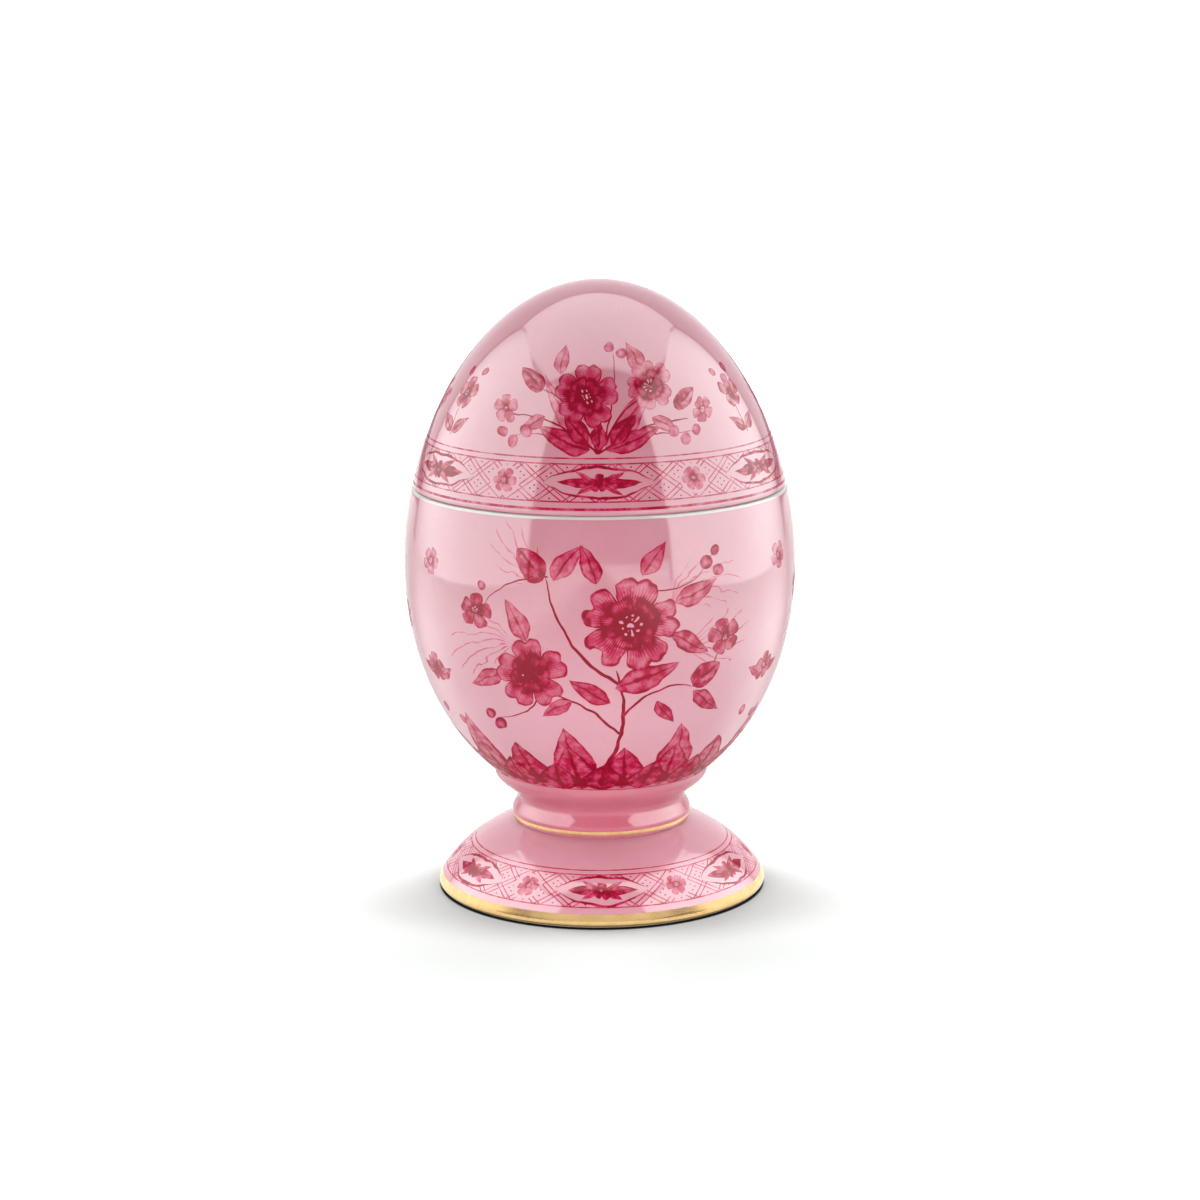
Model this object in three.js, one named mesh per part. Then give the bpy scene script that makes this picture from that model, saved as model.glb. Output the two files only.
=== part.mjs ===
// A footed porcelain egg box: a domed lid that lifts off an egg-shaped bowl, luted to a hollow flared foot,
// with a gilded line under the spool and a gilded rim round the foot.
// Millimetres, +Z up, the origin on the table under the centre of the foot.

import * as THREE from "three";

// Egg: its outline runs from a virtual end hidden in the foot to the apex of the lid
const EGG_LENGTH = 155.3;
const EGG_RADIUS = 57.15; // at the middle of its length
const EGG_TAPER = 3.96; // what the blunt end gains on that radius, and the pointed end loses
const EGG_SINK = 2.3; // how far the virtual end lies below the waist
const SHELL_WALL = 3.2;

// Lid: its rim sits on the bowl's rim, and its flange drops inside
const LID_HEIGHT = 59.6; // from the seam to the apex
const LID_EDGE_HEIGHT = 2.2; // of the rounding at the foot of the dome
const LID_EDGE_INSET = 1.3;
const FLANGE_DEPTH = 6;
const FLANGE_WALL = 2.3;
const FLANGE_CLEARANCE = 0.7; // to the bowl's mouth, all round
const FLANGE_BLEND = 6; // height over which the flange runs into the dome

// Bowl: the lower egg with its collar
const LIP_HEIGHT = 1.3; // of the rounding outside the rim
const LIP_INSET = 0.9;
const MOUTH_ROUND = 0.7; // of the rounding inside the rim
const COLLAR_RADIUS = 31.6;
const COLLAR_EDGE = 1; // height of the collar's upright side
const FLOOR_THICKNESS = 3.4;
const FLOOR_BLEND = 1.6; // softness of the bend from the wall to the floor
const UNDERSIDE_RECESS = 1.5; // of the bowl's base inside the luted ring

// Foot: from the waist, where it is luted to the bowl, down to the table
const WAIST_RADIUS = 25;
const SPOOL_HEIGHT = 4.1; // from the spool's widest ring up to the waist
const SPOOL_RADIUS = 26.4;
const SPOOL_LIP_HEIGHT = 2.8; // from the flare up to the spool's widest ring
const SPOOL_LIP_TUCK = 0.65;
const FLARE_HEIGHT = 20.1;
const FLARE_BULGE = 2.47; // of the flare's arc over its chord
const FOOT_RADIUS = 49.05;
const FOOT_RIM_ROUND = 1.7;
const FOOT_RIM_MEETS_FLARE = THREE.MathUtils.degToRad(35); // up from the horizontal
const FOOT_WALL = 3.4;
const STANDING_RING_WIDTH = 2.9;

// Gilding
const GILT_DEPTH = 0.5;
const GILT_LINE_DROP = 0.75; // from the spool's widest ring to the line's upper edge
const GILT_LINE_WIDTH = 1;
const GILT_RIM_TOP = 3.9; // above the table
const GILT_RIM_ENDS = THREE.MathUtils.degToRad(-50); // round the rim, below the horizontal

// Facets
const TURN_STEPS = 48;
const DOME_STEPS = 12;
const BOWL_STEPS = 14;
const MOULDING_STEPS = 8;
const ROUNDING_STEPS = 4;

// Heights, from the table up
const spoolWidest = FLARE_HEIGHT + SPOOL_LIP_HEIGHT;
const waist = spoolWidest + SPOOL_HEIGHT;
const eggEnd = waist - EGG_SINK;
const eggMiddle = eggEnd + EGG_LENGTH / 2;
const apex = eggEnd + EGG_LENGTH;
const seam = apex - LID_HEIGHT;
const underside = waist + UNDERSIDE_RECESS;
const floor = underside + FLOOR_THICKNESS;

const at = (radius, height) => new THREE.Vector2(radius, height);

// Radius of the egg at a height, or of the egg inside it whose axes are shorter by the inset.
function eggRadius(height, inset = 0) {
  const along = (height - eggMiddle) / (EGG_LENGTH / 2 - inset);
  const across = Math.sqrt(Math.max(0, 1 - along * along));
  return across * (EGG_RADIUS - inset - EGG_TAPER * along);
}

// Slope of the egg's outline, as the change of radius per millimetre of height.
function eggSlope(height) {
  const span = 0.01;
  return (eggRadius(height + span) - eggRadius(height - span)) / (2 * span);
}

// Points on the egg between two heights, spaced evenly in angle round its middle.
function eggOutline(from, to, steps, inset = 0) {
  const half = EGG_LENGTH / 2 - inset;
  const angleOf = (height) => Math.acos(THREE.MathUtils.clamp((height - eggMiddle) / half, -1, 1));
  return Array.from({ length: steps + 1 }, (_, i) => {
    const angle = THREE.MathUtils.lerp(angleOf(from), angleOf(to), i / steps);
    const height = eggMiddle + half * Math.cos(angle);
    return at(eggRadius(height, inset), height);
  });
}

// Height in the lower half of the egg at which it has the given radius.
function heightOnLowerEgg(radius) {
  let low = eggEnd;
  let high = eggMiddle;
  for (let i = 0; i < 40; i++) {
    const middle = (low + high) / 2;
    if (eggRadius(middle) < radius) low = middle;
    else high = middle;
  }
  return high;
}

// An S-shaped moulding that leaves and arrives upright. This handle makes it follow a cosine wave.
function cyma(from, to, steps = MOULDING_STEPS) {
  const handle = 0.364 * (to.y - from.y);
  const curve = new THREE.CubicBezierCurve(from, at(from.x, from.y + handle), at(to.x, to.y - handle), to);
  return curve.getPoints(steps);
}

// A rounded edge that leaves one point towards the corner and arrives at the other from it.
function rounding(from, corner, to) {
  return new THREE.QuadraticBezierCurve(from, corner, to).getPoints(ROUNDING_STEPS);
}

// An arc round a centre, from one angle to another.
function arc(centre, radius, from, to, steps) {
  return new THREE.EllipseCurve(centre.x, centre.y, radius, radius, from, to, to < from).getPoints(steps);
}

// Stretches of outline joined into one list, without the points that repeat.
function outline(...stretches) {
  const points = stretches.flat();
  return points.filter((point, i) => i === 0 || point.distanceTo(points[i - 1]) > 1e-6);
}

// A solid of revolution about +Z. The outline runs anticlockwise round the right half of the section.
function turned(points) {
  return new THREE.LatheGeometry(points, TURN_STEPS).rotateX(Math.PI / 2);
}

// The lid's flange fits the bowl's mouth.
const mouthRadius = eggRadius(seam, SHELL_WALL);
const flangeOutside = mouthRadius - FLANGE_CLEARANCE;
const flangeInside = flangeOutside - FLANGE_WALL;

// Down inside the dome and round the flange, then out along the seat and up the dome's outside.
function lidOutline() {
  const blendTop = seam + FLANGE_BLEND;
  const flangeFoot = at((flangeOutside + flangeInside) / 2, seam - FLANGE_DEPTH + FLANGE_WALL / 2);
  const edgeTop = seam + LID_EDGE_HEIGHT;
  const edgeStart = at(eggRadius(edgeTop), edgeTop);
  const edgeCorner = at(edgeStart.x - eggSlope(edgeTop) * LID_EDGE_HEIGHT, seam);
  const edgeEnd = at(edgeCorner.x - LID_EDGE_INSET, seam);
  return outline(
    eggOutline(apex - SHELL_WALL, blendTop, DOME_STEPS - 2, SHELL_WALL),
    cyma(at(eggRadius(blendTop, SHELL_WALL), blendTop), at(flangeInside, seam), ROUNDING_STEPS),
    arc(flangeFoot, FLANGE_WALL / 2, -Math.PI, 0, ROUNDING_STEPS),
    at(flangeOutside, seam),
    rounding(edgeEnd, edgeCorner, edgeStart),
    eggOutline(edgeTop, apex, DOME_STEPS),
  );
}

// The bowl's inner wall levels off into its floor.
function bowlInside() {
  const levelled = (height) => floor + FLOOR_BLEND * Math.log1p(Math.exp((height - floor) / FLOOR_BLEND));
  const wall = eggOutline(eggEnd + SHELL_WALL, seam - MOUTH_ROUND, BOWL_STEPS, SHELL_WALL);
  return wall.map((point) => at(point.x, levelled(point.y)));
}

// Out along the underside, up the collar and the egg, over the rim and down the inside.
function bowlOutline() {
  const boreRadius = WAIST_RADIUS - FOOT_WALL;
  const shoulder = heightOnLowerEgg(COLLAR_RADIUS);
  const lipFoot = seam - LIP_HEIGHT;
  const lipStart = at(eggRadius(lipFoot), lipFoot);
  const lipCorner = at(lipStart.x + eggSlope(lipFoot) * LIP_HEIGHT, seam);
  const inside = bowlInside().reverse();
  const mouthEnd = inside[0];
  return outline(
    at(0, underside),
    at(boreRadius, underside),
    at(boreRadius, waist),
    cyma(at(WAIST_RADIUS, waist), at(COLLAR_RADIUS, shoulder - COLLAR_EDGE)),
    eggOutline(shoulder, lipFoot, BOWL_STEPS),
    rounding(lipStart, lipCorner, at(lipCorner.x - LIP_INSET, seam)),
    rounding(at(mouthEnd.x + MOUTH_ROUND, seam), at(mouthEnd.x, seam), mouthEnd),
    inside,
  );
}

// The foot's flare is an arc from the spool's tucked lip to the rounded rim.
const rimCentre = at(FOOT_RADIUS - FOOT_RIM_ROUND, FOOT_RIM_ROUND);
const flareTop = at(SPOOL_RADIUS - SPOOL_LIP_TUCK, FLARE_HEIGHT);
const flareEnd = at(FOOT_RIM_ROUND, 0).rotateAround(at(0, 0), FOOT_RIM_MEETS_FLARE).add(rimCentre);
const flareChord = flareEnd.clone().sub(flareTop);
const flareOut = at(-flareChord.y, flareChord.x).normalize();
const flareRadius = flareChord.lengthSq() / (8 * FLARE_BULGE) + FLARE_BULGE / 2;
const flareCentre = flareTop.clone().lerp(flareEnd, 0.5);
flareCentre.addScaledVector(flareOut, FLARE_BULGE - flareRadius);
const flareAngle = (point) => point.clone().sub(flareCentre).angle();

// The point at a radius on the hollow foot's inner arc.
function underFlare(radius) {
  const reach = flareRadius - FOOT_WALL;
  return at(radius, flareCentre.y + Math.sqrt(reach ** 2 - (radius - flareCentre.x) ** 2));
}

// The gilded stretch of the foot, from under the rim up to the band's edge, at a depth below the surface.
function giltRim(depth) {
  const bandTop = Math.asin((GILT_RIM_TOP - flareCentre.y) / flareRadius);
  return outline(
    arc(rimCentre, FOOT_RIM_ROUND - depth, GILT_RIM_ENDS, FOOT_RIM_MEETS_FLARE, ROUNDING_STEPS),
    arc(flareCentre, flareRadius - depth, flareAngle(flareEnd), bandTop, 1),
  );
}

// The spool's lip tucks in below its widest ring, as a quarter of an ellipse.
function spoolLip(from, to, steps, depth = 0) {
  const angleOf = (height) => Math.asin(Math.min(1, (spoolWidest - height) / SPOOL_LIP_HEIGHT));
  return Array.from({ length: steps + 1 }, (_, i) => {
    const angle = THREE.MathUtils.lerp(angleOf(from), angleOf(to), i / steps);
    const tuck = SPOOL_LIP_TUCK * (1 - Math.cos(angle));
    return at(SPOOL_RADIUS - tuck - depth, spoolWidest - SPOOL_LIP_HEIGHT * Math.sin(angle));
  });
}

const giltLineTop = spoolWidest - GILT_LINE_DROP;
const giltLineFoot = giltLineTop - GILT_LINE_WIDTH;
const giltLine = (depth) => spoolLip(giltLineFoot, giltLineTop, 1, depth);

// Round the rim, up the flare and the spool to the waist, then down the bore and under the flare.
function footOutline() {
  const boreRadius = WAIST_RADIUS - FOOT_WALL;
  const innerTop = underFlare(boreRadius);
  const innerBottom = underFlare(rimCentre.x - STANDING_RING_WIDTH);
  const bandEdge = giltRim(0).at(-1);
  return outline(
    arc(rimCentre, FOOT_RIM_ROUND, -Math.PI / 2, GILT_RIM_ENDS, 2),
    giltRim(GILT_DEPTH),
    arc(flareCentre, flareRadius, flareAngle(bandEdge), flareAngle(flareTop), MOULDING_STEPS),
    spoolLip(FLARE_HEIGHT, giltLineFoot, 2),
    giltLine(GILT_DEPTH),
    spoolLip(giltLineTop, spoolWidest, 1),
    cyma(at(SPOOL_RADIUS, spoolWidest), at(WAIST_RADIUS, waist), MOULDING_STEPS - 2),
    at(boreRadius, waist),
    arc(flareCentre, flareRadius - FOOT_WALL, flareAngle(innerTop), flareAngle(innerBottom), MOULDING_STEPS),
    at(innerBottom.x, 0),
    at(rimCentre.x, 0),
  );
}

// A band of gilding: its surface, then back along its bed in the glaze.
function giltOutline(stretch) {
  const surface = stretch(0);
  return outline(surface, stretch(GILT_DEPTH).reverse(), surface[0]);
}

const glaze = { color: new THREE.Color(0xe1a2b0), roughness: 0.12, metalness: 0 };
const gilding = { color: new THREE.Color(0xd8ae66), roughness: 0.25, metalness: 1 };

function piece(name, points, finish) {
  const mesh = new THREE.Mesh(turned(points), new THREE.MeshStandardMaterial(finish));
  mesh.name = name;
  return mesh;
}

const eggBox = new THREE.Group();
eggBox.add(
  piece("lid", lidOutline(), glaze),
  piece("bowl", bowlOutline(), glaze),
  piece("foot", footOutline(), glaze),
  piece("spool_gilt_line", giltOutline(giltLine), gilding),
  piece("foot_gilt_rim", giltOutline(giltRim), gilding),
);

export default eggBox;
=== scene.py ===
"""A footed porcelain egg box: pink glaze over carmine flower painting, with a gilded line and rim.

The shells are turned from the outlines of their sections. The painting is one field of ink, laid stroke by
stroke in the material's nodes, in millimetres over the surface.
"""

import logging
import math
from dataclasses import dataclass, field
from enum import Enum
from typing import Callable, Protocol

import bmesh
import bpy
from mathutils import Matrix, Vector


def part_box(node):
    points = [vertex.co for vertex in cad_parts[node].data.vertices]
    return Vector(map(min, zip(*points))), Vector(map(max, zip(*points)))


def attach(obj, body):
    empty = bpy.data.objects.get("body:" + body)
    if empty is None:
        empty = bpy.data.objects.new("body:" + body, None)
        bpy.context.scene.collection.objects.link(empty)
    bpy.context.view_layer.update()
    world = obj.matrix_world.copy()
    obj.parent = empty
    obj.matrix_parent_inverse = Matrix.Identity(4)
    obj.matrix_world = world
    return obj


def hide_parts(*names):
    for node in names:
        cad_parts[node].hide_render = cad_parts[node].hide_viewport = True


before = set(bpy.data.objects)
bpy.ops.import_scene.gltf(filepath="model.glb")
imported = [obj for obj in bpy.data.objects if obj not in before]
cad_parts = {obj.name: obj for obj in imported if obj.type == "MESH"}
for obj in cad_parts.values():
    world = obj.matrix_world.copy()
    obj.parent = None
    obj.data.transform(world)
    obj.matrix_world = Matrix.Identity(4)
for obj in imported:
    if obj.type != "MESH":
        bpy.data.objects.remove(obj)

LOG = logging.getLogger("egg_box")
MM = 0.001
BARE = 0.12  # the ink on plain ground; less is a paler ground of painted light and painted reflection
SAME_POINT = 1e-4  # millimetres

Point = tuple[float, float]
Colour = tuple[float, float, float]
Stops = list[tuple[float, Colour]]


class Body(Enum):
    """The bodies that the pieces ride on."""

    BASE = "base"
    LID = "lid"


class Slot(Enum):
    """The record's material slots."""

    PORCELAIN = "porcelain"
    GILDING = "gilding"


class Finish(Enum):
    """The finishes on one shell, in the order of its material slots."""

    PAINTED = 0
    WHITE_GLAZE = 1
    BISCUIT = 2


class Tone(Enum):
    """How dark a stroke is painted, as a share of the darkest ink."""

    FAINT = 0.34
    PALE = 0.7
    MID = 1.0
    FULL = 1.3
    DARK = 1.65


# Outlines


def lerp(start: float, end: float, share: float) -> float:
    """The number at a share of the way from start to end."""
    return start + (end - start) * share


def bezier(handles: list[Point], steps: int) -> list[Point]:
    """Points on the Bezier curve of any degree with the given handles.

    Args:
        handles: The curve's ends and the handles between them.
        steps: How many stretches the curve gets.

    Returns:
        The points, both ends included.
    """
    points = []
    for step in range(steps + 1):
        row = handles
        while len(row) > 1:
            row = [tuple(lerp(*pair, step / steps) for pair in zip(a, b)) for a, b in zip(row, row[1:])]
        points.append(row[0])
    return points


def arc(centre: Point, radius: float, start: float, end: float, steps: int) -> list[Point]:
    """Points on a circle from one angle to another, in radians."""
    angles = [lerp(start, end, step / steps) for step in range(steps + 1)]
    return [(centre[0] + radius * math.cos(a), centre[1] + radius * math.sin(a)) for a in angles]


def cyma(start: Point, end: Point, steps: int = 20, fullness: float = 0.364) -> list[Point]:
    """An S-shaped moulding that leaves and arrives upright."""
    handle = fullness * (end[1] - start[1])
    return bezier([start, (start[0], start[1] + handle), (end[0], end[1] - handle), end], steps)


def joined(*stretches: list[Point]) -> list[Point]:
    """Joins stretches of outline, without the points that repeat.

    Args:
        *stretches: The stretches, in their order.

    Returns:
        The outline.
    """
    outline: list[Point] = []
    for point in (point for stretch in stretches for point in stretch):
        if not outline or math.dist(point, outline[-1]) > SAME_POINT:
            outline.append(point)
    return outline


@dataclass(frozen=True)
class Egg:
    """The egg that lid and bowl share, in millimetres."""

    apex: float
    widest: float
    length: float = 155.3
    taper: float = 3.96
    widest_gain: float = 0.124  # what the taper adds to the greatest radius
    wall: float = 3.2

    @property
    def middle(self) -> float:
        """Height of the middle of the egg's length."""
        return self.apex - self.length / 2

    def radius_at(self, height: float, inset: float = 0.0) -> float:
        """The egg's radius at a height.

        Args:
            height: The height.
            inset: How much shorter the axes are than the egg's own.

        Returns:
            The radius.
        """
        along = (height - self.middle) / (self.length / 2 - inset)
        across = math.sqrt(max(0.0, 1.0 - along * along))
        return across * (self.widest - self.widest_gain - inset - self.taper * along)

    def slope_at(self, height: float) -> float:
        """Change of radius per millimetre of height."""
        span = 0.01
        return (self.radius_at(height + span) - self.radius_at(height - span)) / (2 * span)

    def height_below(self, radius: float) -> float:
        """Finds the height in the lower half at which the egg has a radius.

        Args:
            radius: The radius.

        Returns:
            The height.
        """
        halvings = 40
        low, high = self.apex - self.length, self.middle
        for _ in range(halvings):
            half = (low + high) / 2
            low, high = (half, high) if self.radius_at(half) < radius else (low, half)
        return high

    def stretch(self, start: float, end: float, steps: int, inset: float = 0.0) -> list[Point]:
        """Points between two heights, spaced evenly in angle round the egg's middle.

        Args:
            start: The first height.
            end: The last height.
            steps: How many stretches there are between them.
            inset: How far inside the egg's own surface the points lie.

        Returns:
            The points, both ends included.
        """
        half = self.length / 2 - inset
        first, last = (math.acos(max(-1.0, min(1.0, (h - self.middle) / half))) for h in (start, end))
        heights = [self.middle + half * math.cos(lerp(first, last, i / steps)) for i in range(steps + 1)]
        return [(self.radius_at(height, inset), height) for height in heights]


# Meshes


def turned(name: str, outline: list[Point], steps: int = 192) -> bpy.types.Object:
    """Makes a solid of revolution, smooth but for its real corners.

    Args:
        name: The new object's name.
        outline: Radius and height of each point, in millimetres. The last point joins the first.
        steps: How many stretches the full turn has.

    Returns:
        The object, linked to the scene.
    """
    mesh = bmesh.new()
    points = [mesh.verts.new((radius * MM, 0.0, height * MM)) for radius, height in outline]
    edges = [mesh.edges.new(pair) for pair in zip(points, points[1:] + points[:1])]
    axis = {"cent": (0.0, 0.0, 0.0), "axis": (0.0, 0.0, 1.0), "angle": 2 * math.pi}
    bmesh.ops.spin(mesh, geom=points + edges, steps=steps, use_merge=True, **axis)
    bmesh.ops.remove_doubles(mesh, verts=mesh.verts, dist=SAME_POINT * MM)
    on_axis = [edge for edge in mesh.edges if not edge.link_faces]
    bmesh.ops.delete(mesh, geom=on_axis, context="EDGES")
    bmesh.ops.recalc_face_normals(mesh, faces=mesh.faces)
    corner = math.radians(28)
    for face in mesh.faces:
        face.smooth = True
    for edge in mesh.edges:
        edge.smooth = not edge.is_manifold or edge.calc_face_angle() < corner
    data = bpy.data.meshes.new(name)
    mesh.to_mesh(data)
    mesh.free()
    piece = bpy.data.objects.new(name, data)
    bpy.context.scene.collection.objects.link(piece)
    return piece


def install(piece: bpy.types.Object, node: str, body: Body, slot: Slot) -> None:
    """Puts a finished piece in the place of its CAD node and reports it.

    Args:
        piece: The piece.
        node: The CAD node that it stands for.
        body: The body that it rides on.
        slot: Its material slot in the record. Not used.
    """
    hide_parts(node)
    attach(piece, body.value)
    LOG.info("%s: %d faces, on %s", piece.name, len(piece.data.polygons), body.value)


# Shader maths


class Field:
    """A number that varies over a surface. Arithmetic on it adds Math nodes."""

    def __init__(self, shader: "Shader", socket: bpy.types.NodeSocket) -> None:
        """Wraps a socket of one of the shader's nodes."""
        self.shader = shader
        self.socket = socket

    def _maths(self, operation: str, *values: "Field | float") -> "Field":
        """The result of one Math node."""
        node = self.shader.node("ShaderNodeMath", {"operation": operation}, dict(enumerate(values)))
        return Field(self.shader, node.outputs[0])

    def __add__(self, other: "Field | float") -> "Field":
        """self + other."""
        return self._maths("ADD", self, other)

    __radd__ = __add__

    def __sub__(self, other: "Field | float") -> "Field":
        """self - other."""
        return self._maths("SUBTRACT", self, other)

    def __rsub__(self, other: float) -> "Field":
        """other - self."""
        return self._maths("SUBTRACT", other, self)

    def __mul__(self, other: "Field | float") -> "Field":
        """self * other."""
        return self._maths("MULTIPLY", self, other)

    __rmul__ = __mul__

    def __truediv__(self, other: "Field | float") -> "Field":
        """self / other."""
        return self._maths("DIVIDE", self, other)

    def __abs__(self) -> "Field":
        """The distance from zero."""
        return self._maths("ABSOLUTE", self)

    def times_plus(self, factor: "Field | float", term: "Field | float") -> "Field":
        """self * factor + term, in one node."""
        return self._maths("MULTIPLY_ADD", self, factor, term)

    def least(self, other: "Field | float") -> "Field":
        """The smaller of the two."""
        return self._maths("MINIMUM", self, other)

    def bearing(self, across: "Field | float") -> "Field":
        """Angle of the direction that goes self up and the other across."""
        return self._maths("ARCTAN2", self, across)

    def folded(self, half: float) -> "Field":
        """Distance to the nearest whole multiple of twice the half."""
        return self._maths("PINGPONG", self, half)

    def wrapped(self, half: float) -> "Field":
        """self within one repeat, from -half to half."""
        return self._maths("WRAP", self, half, -half)

    def ramp(self, start: float, end: float, low: float = 0.0, high: float = 1.0) -> "Field":
        """A number that runs softly from one value to another, and stays there.

        Args:
            start: What self is where the run starts.
            end: What self is where it ends, which may be less.
            low: The value before the run.
            high: The value after it.

        Returns:
            The number.
        """
        sockets = {"Value": self, "From Min": start, "From Max": end, "To Min": low, "To Max": high}
        node = self.shader.node("ShaderNodeMapRange", {"interpolation_type": "SMOOTHSTEP"}, sockets)
        return Field(self.shader, node.outputs[0])

    def curve(self, points: list[Point]) -> "Field":
        """self looked up on a curve through the points, which lie between 0 and 1."""
        node = self.shader.node("ShaderNodeFloatCurve", {"points": points}, {"Value": self})
        return Field(self.shader, node.outputs[0])


class Spot:
    """A place that varies over a surface: a vector socket."""

    def __init__(self, shader: "Shader", socket: bpy.types.NodeSocket) -> None:
        """Wraps a vector socket of one of the shader's nodes."""
        self.shader = shader
        self.socket = socket

    def _maths(self, operation: str, *values: "Spot | Colour") -> bpy.types.Node:
        """One Vector Math node with this place first."""
        sockets = dict(enumerate((self, *values)))
        return self.shader.node("ShaderNodeVectorMath", {"operation": operation}, sockets)

    def times(self, factors: Colour) -> "Spot":
        """Each coordinate times its own factor."""
        return Spot(self.shader, self._maths("MULTIPLY", factors).outputs[0])

    def stirred(self, by: "Spot", amount: float) -> "Spot":
        """The place pushed about by a noise colour, up to half the amount each way."""
        pushed = Spot(self.shader, by._maths("MULTIPLY_ADD", (amount,) * 3, self).outputs[0])
        return Spot(self.shader, pushed._maths("SUBTRACT", (amount / 2,) * 3).outputs[0])

    def length(self) -> Field:
        """Distance from the origin."""
        return Field(self.shader, self._maths("LENGTH").outputs[1])

    def distance(self, other: Colour) -> Field:
        """Distance from a fixed point."""
        return Field(self.shader, self._maths("DISTANCE", other).outputs[1])

    def placed(self, origin: Point, turn: float, size: Point) -> "Spot":
        """The place as seen from an origin that is turned, each axis counted in its own size.

        Args:
            origin: Where the new origin is.
            turn: How far the new axes are turned, in degrees.
            size: What counts as 1 along each of the new axes.

        Returns:
            The place in the new axes.
        """
        sockets = {
            "Vector": self,
            "Location": (*origin, 0.0),
            "Rotation": (0.0, 0.0, math.radians(turn)),
            "Scale": (*size, 1.0),
        }
        node = self.shader.node("ShaderNodeMapping", {"vector_type": "TEXTURE"}, sockets)
        return Spot(self.shader, node.outputs[0])

    def parts(self) -> tuple[Field, Field, Field]:
        """The three coordinates."""
        node = self.shader.node("ShaderNodeSeparateXYZ", {}, {0: self})
        return tuple(Field(self.shader, output) for output in node.outputs)


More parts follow.
